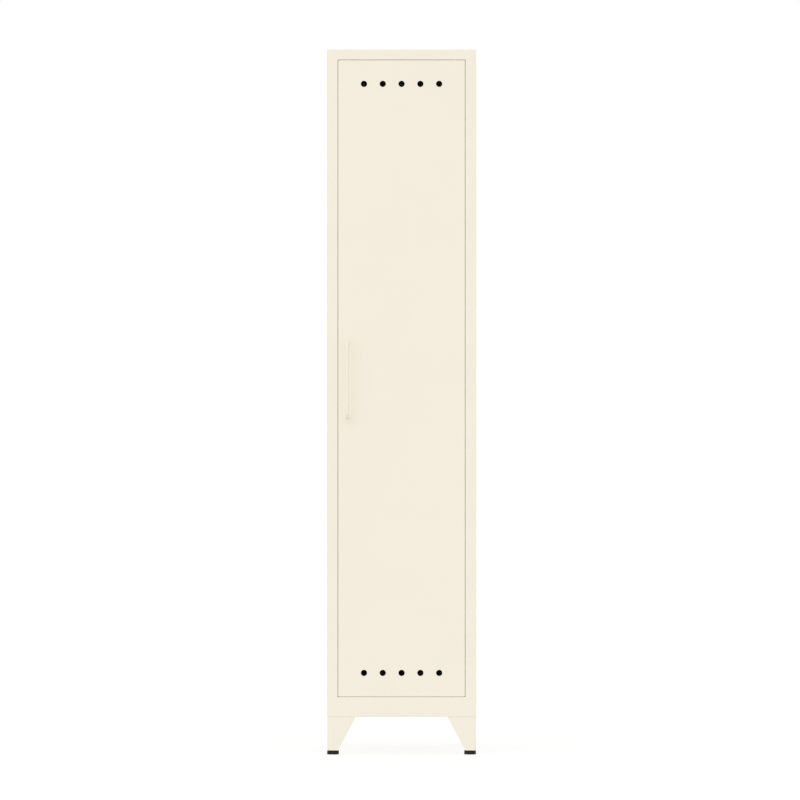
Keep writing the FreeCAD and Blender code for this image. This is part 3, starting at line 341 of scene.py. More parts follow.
def moulded_black_plastic(finishes):
    """Injection-moulded polypropylene from a spark-eroded mould: near black, matt and finely grained."""
    material, tree, shader, place = new_material("moulded_black_plastic")
    shader.inputs["Specular IOR Level"].default_value = 0.25
    flow = add_node(tree, NOISE, {"Vector": place, "Scale": per_metre(14), "Detail": 3.0})
    varied(tree, shader, flow, shaded(finishes.plastic, 0.85), shaded(finishes.plastic, 1.2))
    # The real grain is a fifth of a millimetre; it is drawn coarser, to show
    grain = add_node(tree, NOISE, {"Vector": place, "Scale": per_metre(0.8), "Detail": 2.0})
    rubbed(tree, shader, grain, low=0.46, high=0.62)
    embossed(tree, shader, grain, height=0.05 * MM)
    return material


def natural_nylon(finishes):
    """Unfilled moulded nylon: a warm, waxy white that lets a little light in."""
    material, tree, shader, place = new_material("natural_nylon")
    shader.inputs["IOR"].default_value = 1.53
    shader.inputs["Subsurface Weight"].default_value = 0.2
    shader.inputs["Subsurface Scale"].default_value = 1.5 * MM
    flow = add_node(tree, NOISE, {"Vector": place, "Scale": per_metre(12), "Detail": 3.0})
    varied(tree, shader, flow, shaded(finishes.nylon, 0.95), finishes.nylon)
    grain = add_node(tree, NOISE, {"Vector": place, "Scale": per_metre(1.1), "Detail": 2.0})
    rubbed(tree, shader, grain, low=0.36, high=0.5)
    embossed(tree, shader, grain, height=0.015 * MM)
    return material


def moulded_grey_rubber(finishes):
    """Soft moulded rubber: dull, with a faint bloom in patches."""
    material, tree, shader, place = new_material("moulded_grey_rubber")
    bloom = add_node(tree, NOISE, {"Vector": place, "Scale": per_metre(5), "Detail": 4.0})
    varied(tree, shader, bloom, shaded(finishes.rubber, 0.85), shaded(finishes.rubber, 1.2))
    grain = add_node(tree, NOISE, {"Vector": place, "Scale": per_metre(0.7), "Detail": 2.0})
    rubbed(tree, shader, grain, low=0.68, high=0.85)
    embossed(tree, shader, grain, height=0.03 * MM)
    return material


def ground_ferrite(finishes):
    """Sintered ferrite, ground flat: dark grey ceramic with grinding lines along the block."""
    material, tree, shader, place = new_material("ground_ferrite")
    along = add_node(tree, "ShaderNodeMapping", {"Vector": place, "Scale": (1.0, 1.0, 0.04)})
    lines = add_node(tree, NOISE, {"Vector": along, "Scale": per_metre(0.6), "Detail": 3.0})
    varied(tree, shader, lines, shaded(finishes.ferrite, 0.8), shaded(finishes.ferrite, 1.25))
    rubbed(tree, shader, lines, low=0.42, high=0.6)
    embossed(tree, shader, lines, height=0.02 * MM)
    return material


FINISHES = {
    "powder_coated_steel": cream_powder_coat,
    "zinc_plated_steel": bright_zinc_plate,
    "chromed_tube": chrome_plated_tube,
    "black_plastic": moulded_black_plastic,
    "white_nylon": natural_nylon,
    "grey_rubber": moulded_grey_rubber,
    "ferrite_magnet": ground_ferrite,
}


def finish_for(slot):
    """The material of one of the record's slots, made the first time that it is asked for."""
    make = FINISHES[slot]
    return bpy.data.materials.get(make.__name__) or make(bpy.context.scene.locker_finishes)


def dress(*nodes):
    """Gives CAD pieces that stay as they are the finish of their slot."""
    for name in nodes:
        frame["nodes"][name].material_slots[0].material = finish_for(SLOT_OF[name])


# Pieces


def new_piece(name, mesh):
    """An object at the origin, shown in the scene."""
    piece = bpy.data.objects.new(name, mesh)
    bpy.context.scene.collection.objects.link(piece)
    return piece


def settle(piece, body, slot, *nodes):
    """Lets a finished piece ride on its body, in place of the CAD pieces that it stands for."""
    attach(piece, body)
    if nodes:
        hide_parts(*nodes)


def smooth(mesh):
    """Smooth shading, apart from the sharp edges."""
    mesh.shade_smooth()
    mesh.set_sharp_from_angle(angle=SHARP_ANGLE)


def geometry_tree(name, inputs):
    """A geometry tree with named inputs, and its input sockets by name."""
    tree = bpy.data.node_groups.new(name, "GeometryNodeTree")
    tree.interface.new_socket("Geometry", in_out="OUTPUT", socket_type="NodeSocketGeometry")
    for label, kind in {"Geometry": "Geometry", "Material": "Material", **inputs}.items():
        tree.interface.new_socket(label, in_out="INPUT", socket_type="NodeSocket" + kind)
    return tree, add_node(tree, "NodeGroupInput").outputs


def end_tree(tree, geometry, material):
    """The last nodes of a geometry tree: plain geometry with its material."""
    real = add_node(tree, "GeometryNodeRealizeInstances", {"Geometry": geometry})
    dressed = add_node(tree, "GeometryNodeSetMaterial", {"Geometry": real, "Material": material})
    add_node(tree, "NodeGroupOutput", {0: dressed})


def grown(name, tree, slot, points, edges=(), **sizes):
    """A plain mesh that a geometry tree grows on points and edges, with its named inputs set."""
    start = bpy.data.meshes.new(name)
    start.from_pydata(points, edges, [])
    piece = new_piece(name, start)
    modifier = piece.modifiers.new(tree.name, "NODES")
    modifier.node_group = tree
    values = {"Material": finish_for(slot)}
    for label, value in sizes.items():
        values[label.replace("_", " ").title()] = value
    for item in tree.interface.items_tree:
        if item.in_out == "INPUT" and item.name in values:
            modifier[item.identifier] = values[item.name]
    graph = bpy.context.evaluated_depsgraph_get()
    mesh = bpy.data.meshes.new_from_object(piece.evaluated_get(graph))
    if not mesh.polygons:
        raise RuntimeError(tree.name + " made nothing for " + name)
    piece.modifiers.remove(modifier)
    piece.data = mesh
    bpy.data.meshes.remove(start)
    # Primitives and cuts leave an empty slot before the finish
    mesh.materials.clear()
    mesh.materials.append(values["Material"])
    mesh.name = name
    smooth(mesh)
    return piece


def bent_bar_tree():
    """A round bar along a path, bent at the path's corners."""
    sizes = {"Bar Diameter": "Float", "Bend Radius": "Float"}
    tree, given = geometry_tree("bent_bar", sizes)
    path = add_node(tree, "GeometryNodeMeshToCurve", {"Mesh": given["Geometry"]})
    bent = add_node(
        tree,
        "GeometryNodeFilletCurve",
        {"Curve": path, "Count": BEND_STEPS, "Radius": given["Bend Radius"]},
        mode="POLY",
    )
    radius = add_node(tree, MATH, {0: given["Bar Diameter"], 1: 2.0}, operation="DIVIDE")
    section = add_node(
        tree, "GeometryNodeCurvePrimitiveCircle", {"Resolution": ROUND_STEPS, "Radius": radius}
    )
    bar = add_node(
        tree, "GeometryNodeCurveToMesh", {"Curve": bent, "Profile Curve": section, "Fill Caps": True}
    )
    end_tree(tree, bar, given["Material"])
    return tree


def lifted(tree, geometry, height):
    """Nodes that move a shape up."""
    move = add_node(tree, "ShaderNodeCombineXYZ", {"Z": height})
    return add_node(tree, "GeometryNodeTransform", {"Geometry": geometry, "Translation": move})


def threaded_rod(tree, diameter, pitch, rod_length):
    """Nodes for a rod that stands on the origin, with a thread wound round it."""
    radius = add_node(tree, MATH, {0: diameter, 1: 2.0}, operation="DIVIDE")
    half = add_node(tree, MATH, {0: rod_length, 1: 2.0}, operation="DIVIDE")
    turns = add_node(tree, MATH, {0: rod_length, 1: pitch}, operation="DIVIDE")
    rings = add_node(tree, MATH, {0: turns, 1: float(RINGS_PER_TURN)}, operation="MULTIPLY")
    rod = add_node(
        tree,
        "GeometryNodeMeshCylinder",
        {"Vertices": THREAD_STEPS, "Side Segments": rings, "Radius": radius, "Depth": rod_length},
    )
    standing = lifted(tree, rod, half)
    place = add_node(tree, "GeometryNodeInputPosition")
    axes = add_node(tree, "ShaderNodeSeparateXYZ", {0: place})
    x, y, z = axes.outputs
    angle = add_node(tree, MATH, {0: y, 1: x}, operation="ARCTAN2")
    part_turn = add_node(tree, MATH, {0: angle, 1: 2 * math.pi}, operation="DIVIDE")
    climbed = add_node(tree, MATH, {0: z, 1: pitch}, operation="DIVIDE")
    phase = add_node(tree, MATH, {0: climbed, 1: part_turn}, operation="SUBTRACT")
    ridge = add_node(tree, MATH, {0: phase, 1: 0.5}, operation="PINGPONG")
    low, high = THREAD_FLATS
    flank = add_node(tree, RANGE, {"Value": ridge, "From Min": low, "From Max": high})
    above = add_node(tree, MATH, {0: rod_length, 1: z}, operation="SUBTRACT")
    from_end = add_node(tree, MATH, {0: z, 1: above}, operation="MINIMUM")
    run_out = add_node(tree, RANGE, {"Value": from_end, "From Max": pitch})
    thread = add_node(tree, MATH, {0: flank, 1: run_out}, operation="MULTIPLY")
    slim = add_node(tree, MATH, {0: pitch, 1: diameter}, operation="DIVIDE")
    depth = add_node(tree, MATH, {0: slim, 1: THREAD_DEPTH}, operation="MULTIPLY")
    root = add_node(tree, MATH, {0: 1.0, 1: depth}, operation="SUBTRACT")
    scale = add_node(tree, RANGE, {"Value": thread, "To Min": root})
    shrink = add_node(tree, "ShaderNodeCombineXYZ", {"X": scale, "Y": scale, "Z": 1.0})
    moved = add_node(tree, "ShaderNodeVectorMath", {0: place, 1: shrink}, operation="MULTIPLY")
    return add_node(tree, "GeometryNodeSetPosition", {"Geometry": standing, "Position": moved})


def hexagon(tree, across, height, both_ends):
    """Nodes for a hexagon that stands on the origin, turned to a chamfer at its top or both ends."""
    corner = add_node(tree, MATH, {0: across, 1: math.sqrt(3)}, operation="DIVIDE")
    half = add_node(tree, MATH, {0: height, 1: 2.0}, operation="DIVIDE")
    prism = add_node(
        tree,
        "GeometryNodeMeshCylinder",
        {"Vertices": HEXAGON_SIDES, "Radius": corner, "Depth": height},
    )
    # The chamfer is a wide cone with its slope at 30 degrees to the face, which the face cuts
    # at a circle just inside the flats
    face = add_node(tree, MATH, {0: across, 1: CHAMFER_CIRCLE}, operation="MULTIPLY")
    tall = add_node(tree, MATH, {0: height, 1: face}, operation="ADD")
    wide = add_node(tree, MATH, {0: tall, 1: math.sqrt(3)}, operation="MULTIPLY")
    cone = add_node(
        tree,
        "GeometryNodeMeshCone",
        {"Vertices": ROUND_STEPS, "Radius Top": 0.0, "Radius Bottom": wide, "Depth": tall},
    )
    tip = add_node(tree, MATH, {0: face, 1: math.sqrt(3)}, operation="DIVIDE")
    apex = add_node(tree, MATH, {0: half, 1: tip}, operation="ADD")
    base = add_node(tree, MATH, {0: apex, 1: tall}, operation="SUBTRACT")
    upper = lifted(tree, cone, base)
    cutters = [prism, upper]
    if both_ends:
        cutters.append(
            add_node(tree, "GeometryNodeTransform", {"Geometry": upper, "Rotation": (math.pi, 0, 0)})
        )
    shape = add_node(
        tree, "GeometryNodeMeshBoolean", {"Mesh 2": cutters}, operation="INTERSECT", solver="EXACT"
    )
    return lifted(tree, shape, half)


def nut_tree():
    """Nuts that stand on points."""
    tree, given = geometry_tree("nuts", {"Across": "Float", "Height": "Float", "Bore": "Float"})
    solid = hexagon(tree, given["Across"], given["Height"], True)
    radius = add_node(tree, MATH, {0: given["Bore"], 1: 2.0}, operation="DIVIDE")
    deep = add_node(tree, MATH, {0: given["Height"], 1: BORE_CUTTER}, operation="MULTIPLY")
    bore = add_node(
        tree, "GeometryNodeMeshCylinder", {"Vertices": ROUND_STEPS, "Radius": radius, "Depth": deep}
    )
    nut = add_node(
        tree,
        "GeometryNodeMeshBoolean",
        {"Mesh 1": solid, "Mesh 2": bore},
        operation="DIFFERENCE",
        solver="EXACT",
    )
    nuts = add_node(
        tree, "GeometryNodeInstanceOnPoints", {"Points": given["Geometry"], "Instance": nut}
    )
    end_tree(tree, nuts, given["Material"])
    return tree


def bolt_tree():
    """Hexagon bolts that hang from points by their heads, with their threads upwards."""
    sizes = {"Across": "Float", "Head": "Float", "Diameter": "Float", "Pitch": "Float", "Length": "Float"}
    tree, given = geometry_tree("bolts", sizes)
    head = hexagon(tree, given["Across"], given["Head"], False)
    hanging = add_node(
        tree, "GeometryNodeTransform", {"Geometry": head, "Rotation": (math.pi, 0, 0)}
    )
    rod = threaded_rod(tree, given["Diameter"], given["Pitch"], given["Length"])
    bolt = add_node(tree, "GeometryNodeJoinGeometry", {"Geometry": [hanging, rod]})
    bolts = add_node(
        tree, "GeometryNodeInstanceOnPoints", {"Points": given["Geometry"], "Instance": bolt}
    )
    end_tree(tree, bolts, given["Material"])
    return tree


def stud_tree():
    """Levelling studs on points: a threaded rod on a disc, slotted at its top for a screwdriver."""
    sizes = {
        "Diameter": "Float",
        "Pitch": "Float",
        "Length": "Float",
        "Disc Diameter": "Float",
        "Disc Height": "Float",
        "Slot Size": "Vector",
    }
    tree, given = geometry_tree("levelling_studs", sizes)
    rod = threaded_rod(tree, given["Diameter"], given["Pitch"], given["Length"])
    slot = add_node(tree, "GeometryNodeMeshCube", {"Size": given["Slot Size"]})
    slotted = add_node(
        tree,
        "GeometryNodeMeshBoolean",
        {"Mesh 1": rod, "Mesh 2": lifted(tree, slot, given["Length"])},
        operation="DIFFERENCE",
        solver="EXACT",
    )
    radius = add_node(tree, MATH, {0: given["Disc Diameter"], 1: 2.0}, operation="DIVIDE")
    half = add_node(tree, MATH, {0: given["Disc Height"], 1: 2.0}, operation="DIVIDE")
    disc = add_node(
        tree,
        "GeometryNodeMeshCylinder",
        {"Vertices": ROUND_STEPS, "Radius": radius, "Depth": given["Disc Height"]},
    )
    stud = add_node(tree, "GeometryNodeJoinGeometry", {"Geometry": [slotted, lifted(tree, disc, half)]})
    studs = add_node(
        tree, "GeometryNodeInstanceOnPoints", {"Points": given["Geometry"], "Instance": stud}
    )
    end_tree(tree, studs, given["Material"])
    return tree


def points_along(tree, paths, pitch):
    """Nodes that place points along paths, a pitch apart."""
    curves = add_node(tree, "GeometryNodeMeshToCurve", {"Mesh": paths})
    return add_node(tree, "GeometryNodeCurveToPoints", {"Curve": curves, "Length": pitch}, mode="LENGTH")


def spot_weld_tree():
    """Rings that spot welds leave, in rows along paths, facing one way."""
    sizes = {"Pitch": "Float", "Ring": "Float", "Wire": "Float", "Facing": "Vector"}
    tree, given = geometry_tree("spot_welds", sizes)
    circle = add_node(
        tree,
        "GeometryNodeCurvePrimitiveCircle",
        {"Resolution": WELD_RING_STEPS, "Radius": given["Ring"]},
    )
    wire = add_node(
        tree,
        "GeometryNodeCurvePrimitiveCircle",
        {"Resolution": WELD_RIM_STEPS, "Radius": given["Wire"]},
    )
    ring = add_node(tree, "GeometryNodeCurveToMesh", {"Curve": circle, "Profile Curve": wire})
    turn = add_node(tree, "FunctionNodeAlignRotationToVector", {"Vector": given["Facing"]}, axis="Z")
    row = points_along(tree, given["Geometry"], given["Pitch"])
    rings = add_node(
        tree, "GeometryNodeInstanceOnPoints", {"Points": row, "Instance": ring, "Rotation": turn}
    )
    end_tree(tree, rings, given["Material"])
    return tree


def weld_bead_tree():
    """Overlapping ripples of weld along paths."""
    tree, given = geometry_tree("weld_beads", {"Pitch": "Float", "Radius": "Float"})
    ripple = add_node(
        tree,
        "GeometryNodeMeshUVSphere",
        {"Segments": RIPPLE_SEGMENTS, "Rings": RIPPLE_RINGS, "Radius": given["Radius"]},
    )
    row = points_along(tree, given["Geometry"], given["Pitch"])
    beads = add_node(tree, "GeometryNodeInstanceOnPoints", {"Points": row, "Instance": ripple})
    end_tree(tree, beads, given["Material"])
    return tree


def turned(name, outline):
    """A closed mesh turned from an outline of (radius, height) that starts and ends on the axis."""
    shape = bmesh.new()
    points = [shape.verts.new((radius, 0, height)) for radius, height in outline]
    edges = [shape.edges.new(pair) for pair in zip(points, points[1:])]
    bmesh.ops.spin(
        shape, geom=points + edges, axis=(0, 0, 1), cent=(0, 0, 0), steps=ROUND_STEPS, angle=2 * math.pi
    )
    bmesh.ops.remove_doubles(shape, verts=shape.verts, dist=MERGE_DISTANCE)
    bmesh.ops.recalc_face_normals(shape, faces=shape.faces)
    mesh = bpy.data.meshes.new(name)
    shape.to_mesh(mesh)
    shape.free()
    return mesh


def middle_of(node):
    """The middle of a CAD piece's box, at its lowest height."""
    low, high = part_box(node)
    return Vector(((low.x + high.x) / 2, (low.y + high.y) / 2, low.z))


# Operators


class LOCKER_OT_coat_sheet_metal(bpy.types.Operator):
    """Powder coat on the folded sheets, legs and plates"""

    bl_idname = "locker.coat_sheet_metal"
    bl_label = "Coat sheet metal"

    def execute(self, context):
        dress("base_pan", "left_side_panel", "right_side_panel", "top_cap", "back_panel")
        dress("door_panel", "door_stiffener", "hat_shelf", "left_shelf_support", "right_shelf_support")
        dress("corner_plates", "foot_plates", *[corner + "_leg" for corner in CORNERS])
        return {"FINISHED"}


class LOCKER_OT_fit_pivots(bpy.types.Operator):
    """Finish of the door's pivot pins and their bearing blocks"""

    bl_idname = "locker.fit_pivots"
    bl_label = "Fit pivots"

    def execute(self, context):
        dress("lower_pivot_pin", "upper_pivot_pin", "lower_pivot_block", "upper_pivot_block")
        return {"FINISHED"}


class LOCKER_OT_bend_handle(bpy.types.Operator):
    """Bow handle, bent from round bar, with its screws and washers"""

    bl_idname = "locker.bend_handle"
    bl_label = "Bend handle"

    def execute(self, context):
        sizes = context.scene.locker_sizes
        low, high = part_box("handle")
        bar = high.x - low.x
        x = (low.x + high.x) / 2
        front = low.y + bar / 2
        bottom = low.z + bar / 2
        top = high.z - bar / 2
        path = [(x, high.y, bottom), (x, front, bottom), (x, front, top), (x, high.y, top)]
        piece = grown(
            "bow_handle",
            bent_bar_tree(),
            "powder_coated_steel",
            path,
            [(0, 1), (1, 2), (2, 3)],
            bar_diameter=bar,
            bend_radius=sizes.handle_bend,
        )
        settle(piece, "door", "powder_coated_steel", "handle")
        dress("handle_screws", "handle_washers")
        return {"FINISHED"}


class LOCKER_OT_fit_catches(bpy.types.Operator):
    """Finish of the magnetic catches and the rubber buffers"""

    bl_idname = "locker.fit_catches"
    bl_label = "Fit catches and buffers"

    def execute(self, context):
        dress("lower_catch_housing", "upper_catch_housing", "catch_magnets", "catch_pole_plates")
        dress("catch_screws", "door_buffers")
        return {"FINISHED"}


class LOCKER_OT_hang_coat_rail(bpy.types.Operator):
    """Finish of the coat rail and its hangers, with chamfered nuts"""

    bl_idname = "locker.hang_coat_rail"
    bl_label = "Hang coat rail"

    def execute(self, context):
        sizes = context.scene.locker_sizes
        dress("coat_rail", "rail_end_caps", "left_rail_hanger", "right_rail_hanger")
        dress("rail_hanger_bolts", "shelf_screws")
        low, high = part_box("rail_hanger_nuts")
        across = sizes.hanger_nut_across
        x = high.x - across / math.sqrt(3)
        places = [(side, y, low.z) for side in (-x, x) for y in (low.y + across / 2, high.y - across / 2)]
        piece = grown(
            "hanger_nuts",
            nut_tree(),
            "zinc_plated_steel",
            places,
            across=across,
            height=high.z - low.z,
            bore=sizes.hanger_bolt,
        )
        settle(piece, "cabinet", "zinc_plated_steel", "rail_hanger_nuts")
        return {"FINISHED"}


class LOCKER_OT_bolt_legs(bpy.types.Operator):
    """Bolts and nuts that hold the legs to the base"""

    bl_idname = "locker.bolt_legs"
    bl_label = "Bolt legs"

    def execute(self, context):
        sizes = context.scene.locker_sizes
        low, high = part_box("leg_bolts")
        across = sizes.bolt_across
        x = high.x - across / math.sqrt(3)
        front = low.y + across / 2
        rear = high.y - across / 2
        step = sizes.bolt_step
        places = []
        for side in (-1, 1):
            for y, inward in ((front, step), (rear, -step)):
                places.append((side * x, y + inward))
                places.append((side * (x - step), y))
        seat = low.z + sizes.bolt_head
        bolts = grown(
            "leg_bolts_threaded",
            bolt_tree(),
            "zinc_plated_steel",
            [(*place, seat) for place in places],
            across=across,
            head=sizes.bolt_head,
            diameter=sizes.bolt_diameter,
            pitch=sizes.bolt_pitch,
            length=high.z - seat,
        )
        settle(bolts, "cabinet", "zinc_plated_steel", "leg_bolts")
        low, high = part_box("leg_nuts")
        nuts = grown(
            "leg_nuts_chamfered",
            nut_tree(),
            "zinc_plated_steel",
            [(*place, low.z) for place in places],
            across=across,
            height=high.z - low.z,
            bore=sizes.bolt_diameter,
        )
        settle(nuts, "cabinet", "zinc_plated_steel", "leg_nuts")
        return {"FINISHED"}


class LOCKER_OT_mould_feet(bpy.types.Operator):
    """Plastic feet, with the socket that the stud's disc sits in"""

    bl_idname = "locker.mould_feet"
    bl_label = "Mould feet"

    socket_floor = 3 * MM
    socket_top = 6.5 * MM
    socket_radius = 8.25 * MM
    neck_radius = 4.3 * MM
    edge_steps = 3

    def execute(self, context):
        sizes = context.scene.locker_sizes
        for corner in CORNERS:
            node = corner + "_foot_pad"
            low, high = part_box(node)
            radius = (high.x - low.x) / 2
            outline = [
                (0, 0),
                (radius, 0),
                (radius - sizes.foot_taper, high.z),
                (self.neck_radius, high.z),
                (self.neck_radius, self.socket_top),
                (self.socket_radius, self.socket_top),
                (self.socket_radius, self.socket_floor),
                (0, self.socket_floor),
            ]
            mesh = turned(corner + "_foot", outline)
            for vertex in mesh.vertices:
                vertex.co += middle_of(node)
            smooth(mesh)
            mesh.materials.append(finish_for("black_plastic"))
            piece = new_piece(corner + "_foot", mesh)
            edge = piece.modifiers.new("moulded_edges", "BEVEL")
            edge.width = sizes.foot_rounding
            edge.segments = self.edge_steps
            edge.limit_method = "ANGLE"
            edge.angle_limit = SHARP_ANGLE
            edge.harden_normals = True
            settle(piece, node, "black_plastic", node)
        return {"FINISHED"}


class LOCKER_OT_thread_studs(bpy.types.Operator):
    """Levelling studs, threaded and slotted, and the nuts that they screw into"""

    bl_idname = "locker.thread_studs"
    bl_label = "Thread studs"

    disc_height = 3 * MM
    slot_width = 1.4 * MM
    slot_depth = 2.4 * MM
    nut_clearance = 0.16 * MM

    def execute(self, context):
        sizes = context.scene.locker_sizes
        tree = stud_tree()
        feet = []
        for corner in CORNERS:
            node = corner + "_foot_stud"
            low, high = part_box(node)
            feet.append(middle_of(node))
            piece = grown(
                corner + "_stud",
                tree,
                "zinc_plated_steel",
                [middle_of(node)],
                diameter=sizes.stud_diameter,
                pitch=sizes.stud_pitch,
                length=high.z - low.z,
                disc_diameter=high.x - low.x,
                disc_height=self.disc_height,
                slot_size=(2 * sizes.stud_diameter, self.slot_width, 2 * self.slot_depth),
            )
            settle(piece, node, "zinc_plated_steel", node)
        low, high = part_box("weld_nuts")
        nuts = grown(
            "foot_weld_nuts",
            nut_tree(),
            "powder_coated_steel",
            [(foot.x, foot.y, low.z) for foot in feet],
            across=sizes.weld_nut_across,
            height=high.z - low.z,
            bore=sizes.stud_diameter + self.nut_clearance,
        )
        settle(nuts, "cabinet", "powder_coated_steel", "weld_nuts")
        return {"FINISHED"}


class LOCKER_OT_spot_weld(bpy.types.Operator):
    """Rings of the spot welds inside the cabinet and behind the door"""

    bl_idname = "locker.spot_weld"
    bl_label = "Spot weld"

    end_distance = 30 * MM
    back_top_distance = 90 * MM
    flange_middle = 6.5 * MM
    seam_middle = 8.5 * MM

    def rows(self, name, body, facing, *rows):
        """One piece of rings in rows, each given by its two ends."""
        sizes = self.sizes
        points = [end for row in rows for end in row]
        edges = [(number, number + 1) for number in range(0, len(points), 2)]
        piece = grown(
            name,
            self.tree,
            "powder_coated_steel",
            points,
            edges,
            pitch=sizes.weld_pitch,
            ring=sizes.weld_ring,
            wire=sizes.weld_wire,
            facing=facing,
        )
        settle(piece, body, "powder_coated_steel")

    def execute(self, context):
        self.sizes = context.scene.locker_sizes
        self.tree = spot_weld_tree()
        sheet = self.sizes.sheet
        end = self.end_distance

        low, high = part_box("door_stiffener")
        x = high.x - self.flange_middle
        y = low.y + sheet
        rows = [((side, y, low.z + end), (side, y, high.z - end)) for side in (-x, x)]
        self.rows("stiffener_spot_welds", "door", (0, 1, 0), *rows)

        low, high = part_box("back_panel")
        x = high.x - self.seam_middle
        top = high.z - self.back_top_distance
        rows = [((side, low.y, low.z + end), (side, low.y, top)) for side in (-x, x)]
        self.rows("back_spot_welds", "cabinet", (0, -1, 0), *rows)

        rear = low.y - end
        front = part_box("door_buffers")[1].y + end
        low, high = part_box("left_side_panel")
        x = low.x + self.seam_middle
        floor = [((side, front, low.z + sheet), (side, rear, low.z + sheet)) for side in (-x, x)]
        ceiling = [((side, front, high.z - sheet), (side, rear, high.z - sheet)) for side in (-x, x)]
        self.rows("floor_spot_welds", "cabinet", (0, 0, 1), *floor)
        self.rows("ceiling_spot_welds", "cabinet", (0, 0, -1), *ceiling)

        low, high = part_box("left_shelf_support")
        wall = self.sizes.support_gauge
        z = low.z + self.seam_middle
        for side, name in ((-1, "left"), (1, "right")):
            x = -side * (low.x + wall)
            row = ((x, low.y + end, z), (x, high.y - end, z))
            self.rows(name + "_support_spot_welds", "cabinet", (-side, 0, 0), row)
        return {"FINISHED"}


class LOCKER_OT_weld_foot_plates(bpy.types.Operator):
    """Weld beads between the foot plates and the legs"""

    bl_idname = "locker.weld_foot_plates"
    bl_label = "Weld foot plates"

    def execute(self, context):
        sizes = context.scene.locker_sizes
        low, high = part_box("foot_plates")
        middle_y = (low.y + high.y) / 2
        start = sizes.leg_bend + sizes.bead_radius
        stop = sizes.foot_plate - sizes.bead_radius
        points = []
        for side_x in (1, -1):
            for side_y in (1, -1):
                for along, across in ((start, 0), (stop, 0), (0, start), (0, stop)):
                    x = side_x * (low.x + along)
                    y = middle_y + side_y * (low.y + across - middle_y)
                    points.append((x, y, high.z))
        edges = [(number, number + 1) for number in range(0, len(points), 2)]
        piece = grown(
            "foot_plate_beads",
            weld_bead_tree(),
            "powder_coated_steel",
            points,
            edges,
            pitch=sizes.bead_pitch,
            radius=sizes.bead_radius,
        )
        settle(piece, "cabinet", "powder_coated_steel")
        return {"FINISHED"}


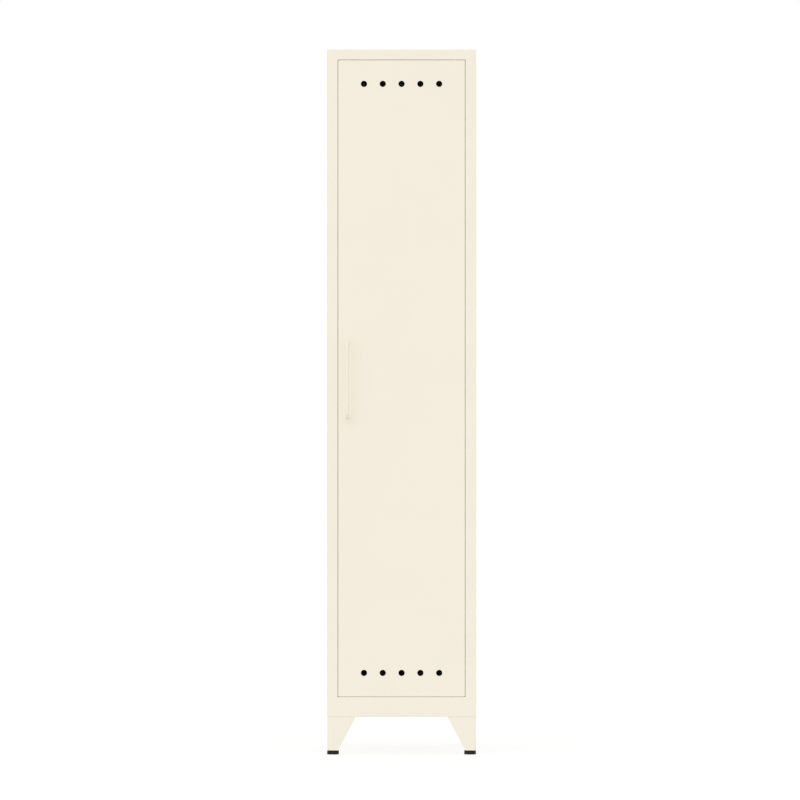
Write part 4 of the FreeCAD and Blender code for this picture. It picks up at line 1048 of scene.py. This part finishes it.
class LOCKER_OT_set_stage(bpy.types.Operator):
    """White paper floor, soft light and a camera straight in front of the door"""

    bl_idname = "locker.set_stage"
    bl_label = "Set stage"

    # The camera's sensor is in millimetres, the floor's side and how far the camera sees in metres
    sensor = 36.0
    floor_size = 60.0
    sight = 100.0

    def seen(self, tree):
        """Nodes that are 1 for what the camera sees, straight, mirrored or through something clear."""
        light = add_node(tree, "ShaderNodeLightPath").outputs
        straight = add_node(
            tree, MATH, {0: light["Is Camera Ray"], 1: light["Is Glossy Ray"]}, operation="MAXIMUM"
        )
        return add_node(
            tree, MATH, {0: straight, 1: light["Is Transmission Ray"]}, operation="MAXIMUM"
        )

    def paper(self, studio):
        """White paper that keeps a shadow. It is clear from below, so that the underside can be seen."""
        paper = bpy.data.materials.new("white_paper")
        paper.use_nodes = True
        tree = paper.node_tree
        tree.nodes.clear()
        grey = (studio.paper, studio.paper, studio.paper, 1)
        matt = add_node(tree, "ShaderNodeBsdfDiffuse", {"Color": grey})
        glow = add_node(tree, MATH, {0: self.seen(tree), 1: studio.paper_glow}, operation="MULTIPLY")
        lift = add_node(tree, "ShaderNodeEmission", {"Strength": glow})
        upper = add_node(tree, "ShaderNodeAddShader", {0: matt, 1: lift})
        below = add_node(tree, "ShaderNodeNewGeometry").outputs["Backfacing"]
        clear = add_node(tree, "ShaderNodeBsdfTransparent")
        sides = add_node(tree, "ShaderNodeMixShader", {0: below, 1: upper, 2: clear})
        add_node(tree, "ShaderNodeOutputMaterial", {"Surface": sides})
        return paper

    def floor(self, studio):
        """A floor that stays under the feet, also when they are screwed out."""
        mesh = bpy.data.meshes.new("paper_floor")
        half = self.floor_size / 2
        corners = [(-half, -half, 0), (half, -half, 0), (half, half, 0), (-half, half, 0)]
        mesh.from_pydata(corners, [], [(0, 1, 2, 3)])
        mesh.materials.append(self.paper(studio))
        floor = new_piece("paper_floor", mesh)
        # The paper neither lights nor darkens the locker
        floor.visible_diffuse = False
        floor.visible_shadow = False
        for corner in CORNERS:
            under = floor.constraints.new("FLOOR")
            under.target = frame["bodies"][corner + "_foot_pad"]
            under.floor_location = "FLOOR_NEGATIVE_Z"

    def sky(self, studio):
        """Soft light from all round, weaker along the axes. What the camera sees of it is white."""
        world = bpy.data.worlds.new("soft_studio")
        bpy.context.scene.world = world
        world.use_nodes = True
        tree = world.node_tree
        tree.nodes.clear()
        direction = add_node(tree, "ShaderNodeTexCoord").outputs["Generated"]
        lean = add_node(
            tree,
            "ShaderNodeVectorMath",
            {0: direction, 1: tuple(studio.sky_lean)},
            operation="DOT_PRODUCT",
        )
        soft = add_node(tree, MATH, {0: lean.outputs["Value"], 1: studio.sky}, operation="ADD")
        axes = add_node(tree, "ShaderNodeSeparateXYZ", {0: direction})
        for axis, hollow in zip(axes.outputs, studio.sky_hollow):
            size = add_node(tree, MATH, {0: axis}, operation="ABSOLUTE")
            lobe = add_node(tree, MATH, {0: size, 1: studio.hollow_focus}, operation="POWER")
            soft = add_node(tree, MATH, {0: lobe, 1: -hollow, 2: soft}, operation="MULTIPLY_ADD")
        level = add_node(tree, MIX, {MIX_FACTOR: self.seen(tree), MIX_NUMBER_A: soft, MIX_NUMBER_B: 1.0})
        back = add_node(tree, "ShaderNodeBackground", {"Color": (1, 1, 1, 1), "Strength": level})
        add_node(tree, "ShaderNodeOutputWorld", {"Surface": back})

    def lamp(self, name, strength, size, direction):
        """A far lamp that shines from a direction and shows in no reflection."""
        light = bpy.data.lights.new(name, "SUN")
        light.energy = strength
        light.angle = size
        lamp = bpy.data.objects.new(name, light)
        lamp.rotation_euler = Vector(direction).to_track_quat("Z", "Y").to_euler()
        lamp.visible_glossy = False
        bpy.context.scene.collection.objects.link(lamp)

    def camera(self, studio):
        """A level camera straight in front of the door."""
        lens = bpy.data.cameras.new("front_camera")
        lens.sensor_width = self.sensor
        lens.lens = self.sensor * studio.distance / studio.picture
        lens.clip_end = self.sight
        camera = bpy.data.objects.new("front_camera", lens)
        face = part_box("door_panel")[0].y
        camera.location = (studio.aim_x, face - studio.distance, studio.aim_z)
        camera.rotation_euler = (math.pi / 2, 0, 0)
        bpy.context.scene.collection.objects.link(camera)
        bpy.context.scene.camera = camera

    def execute(self, context):
        studio = context.scene.locker_studio
        self.floor(studio)
        self.sky(studio)
        self.lamp("key", studio.key, studio.key_size, studio.key_from)
        self.lamp("fill", studio.fill, studio.fill_size, studio.fill_from)
        self.camera(studio)
        context.scene.view_settings.view_transform = "Standard"
        return {"FINISHED"}


OPERATORS = (
    LOCKER_OT_coat_sheet_metal,
    LOCKER_OT_fit_pivots,
    LOCKER_OT_bend_handle,
    LOCKER_OT_fit_catches,
    LOCKER_OT_hang_coat_rail,
    LOCKER_OT_bolt_legs,
    LOCKER_OT_mould_feet,
    LOCKER_OT_thread_studs,
    LOCKER_OT_spot_weld,
    LOCKER_OT_weld_foot_plates,
    LOCKER_OT_set_stage,
)


class LOCKER_PT_sidebar(bpy.types.Panel):
    """The locker's making, step by step"""

    bl_idname = "LOCKER_PT_sidebar"
    bl_label = "Steel locker"
    bl_space_type = "VIEW_3D"
    bl_region_type = "UI"
    bl_category = "Locker"

    def draw(self, context):
        for operator in OPERATORS:
            self.layout.operator(operator.bl_idname)
        for group in GROUPS:
            values = getattr(context.scene, group)
            for name in values.__annotations__:
                self.layout.prop(values, name)


GROUPS = {
    "locker_finishes": LockerFinishes,
    "locker_sizes": LockerSizes,
    "locker_studio": StudioSettings,
}


def register():
    for kind in (*GROUPS.values(), *OPERATORS, LOCKER_PT_sidebar):
        bpy.utils.register_class(kind)
    for name, kind in GROUPS.items():
        setattr(bpy.types.Scene, name, PointerProperty(type=kind))


def unregister():
    for name in GROUPS:
        delattr(bpy.types.Scene, name)
    for kind in (LOCKER_PT_sidebar, *OPERATORS, *GROUPS.values()):
        bpy.utils.unregister_class(kind)


def main():
    register()
    for operator in OPERATORS:
        family, action = operator.bl_idname.split(".")
        getattr(getattr(bpy.ops, family), action)()


if __name__ == "__main__":
    main()
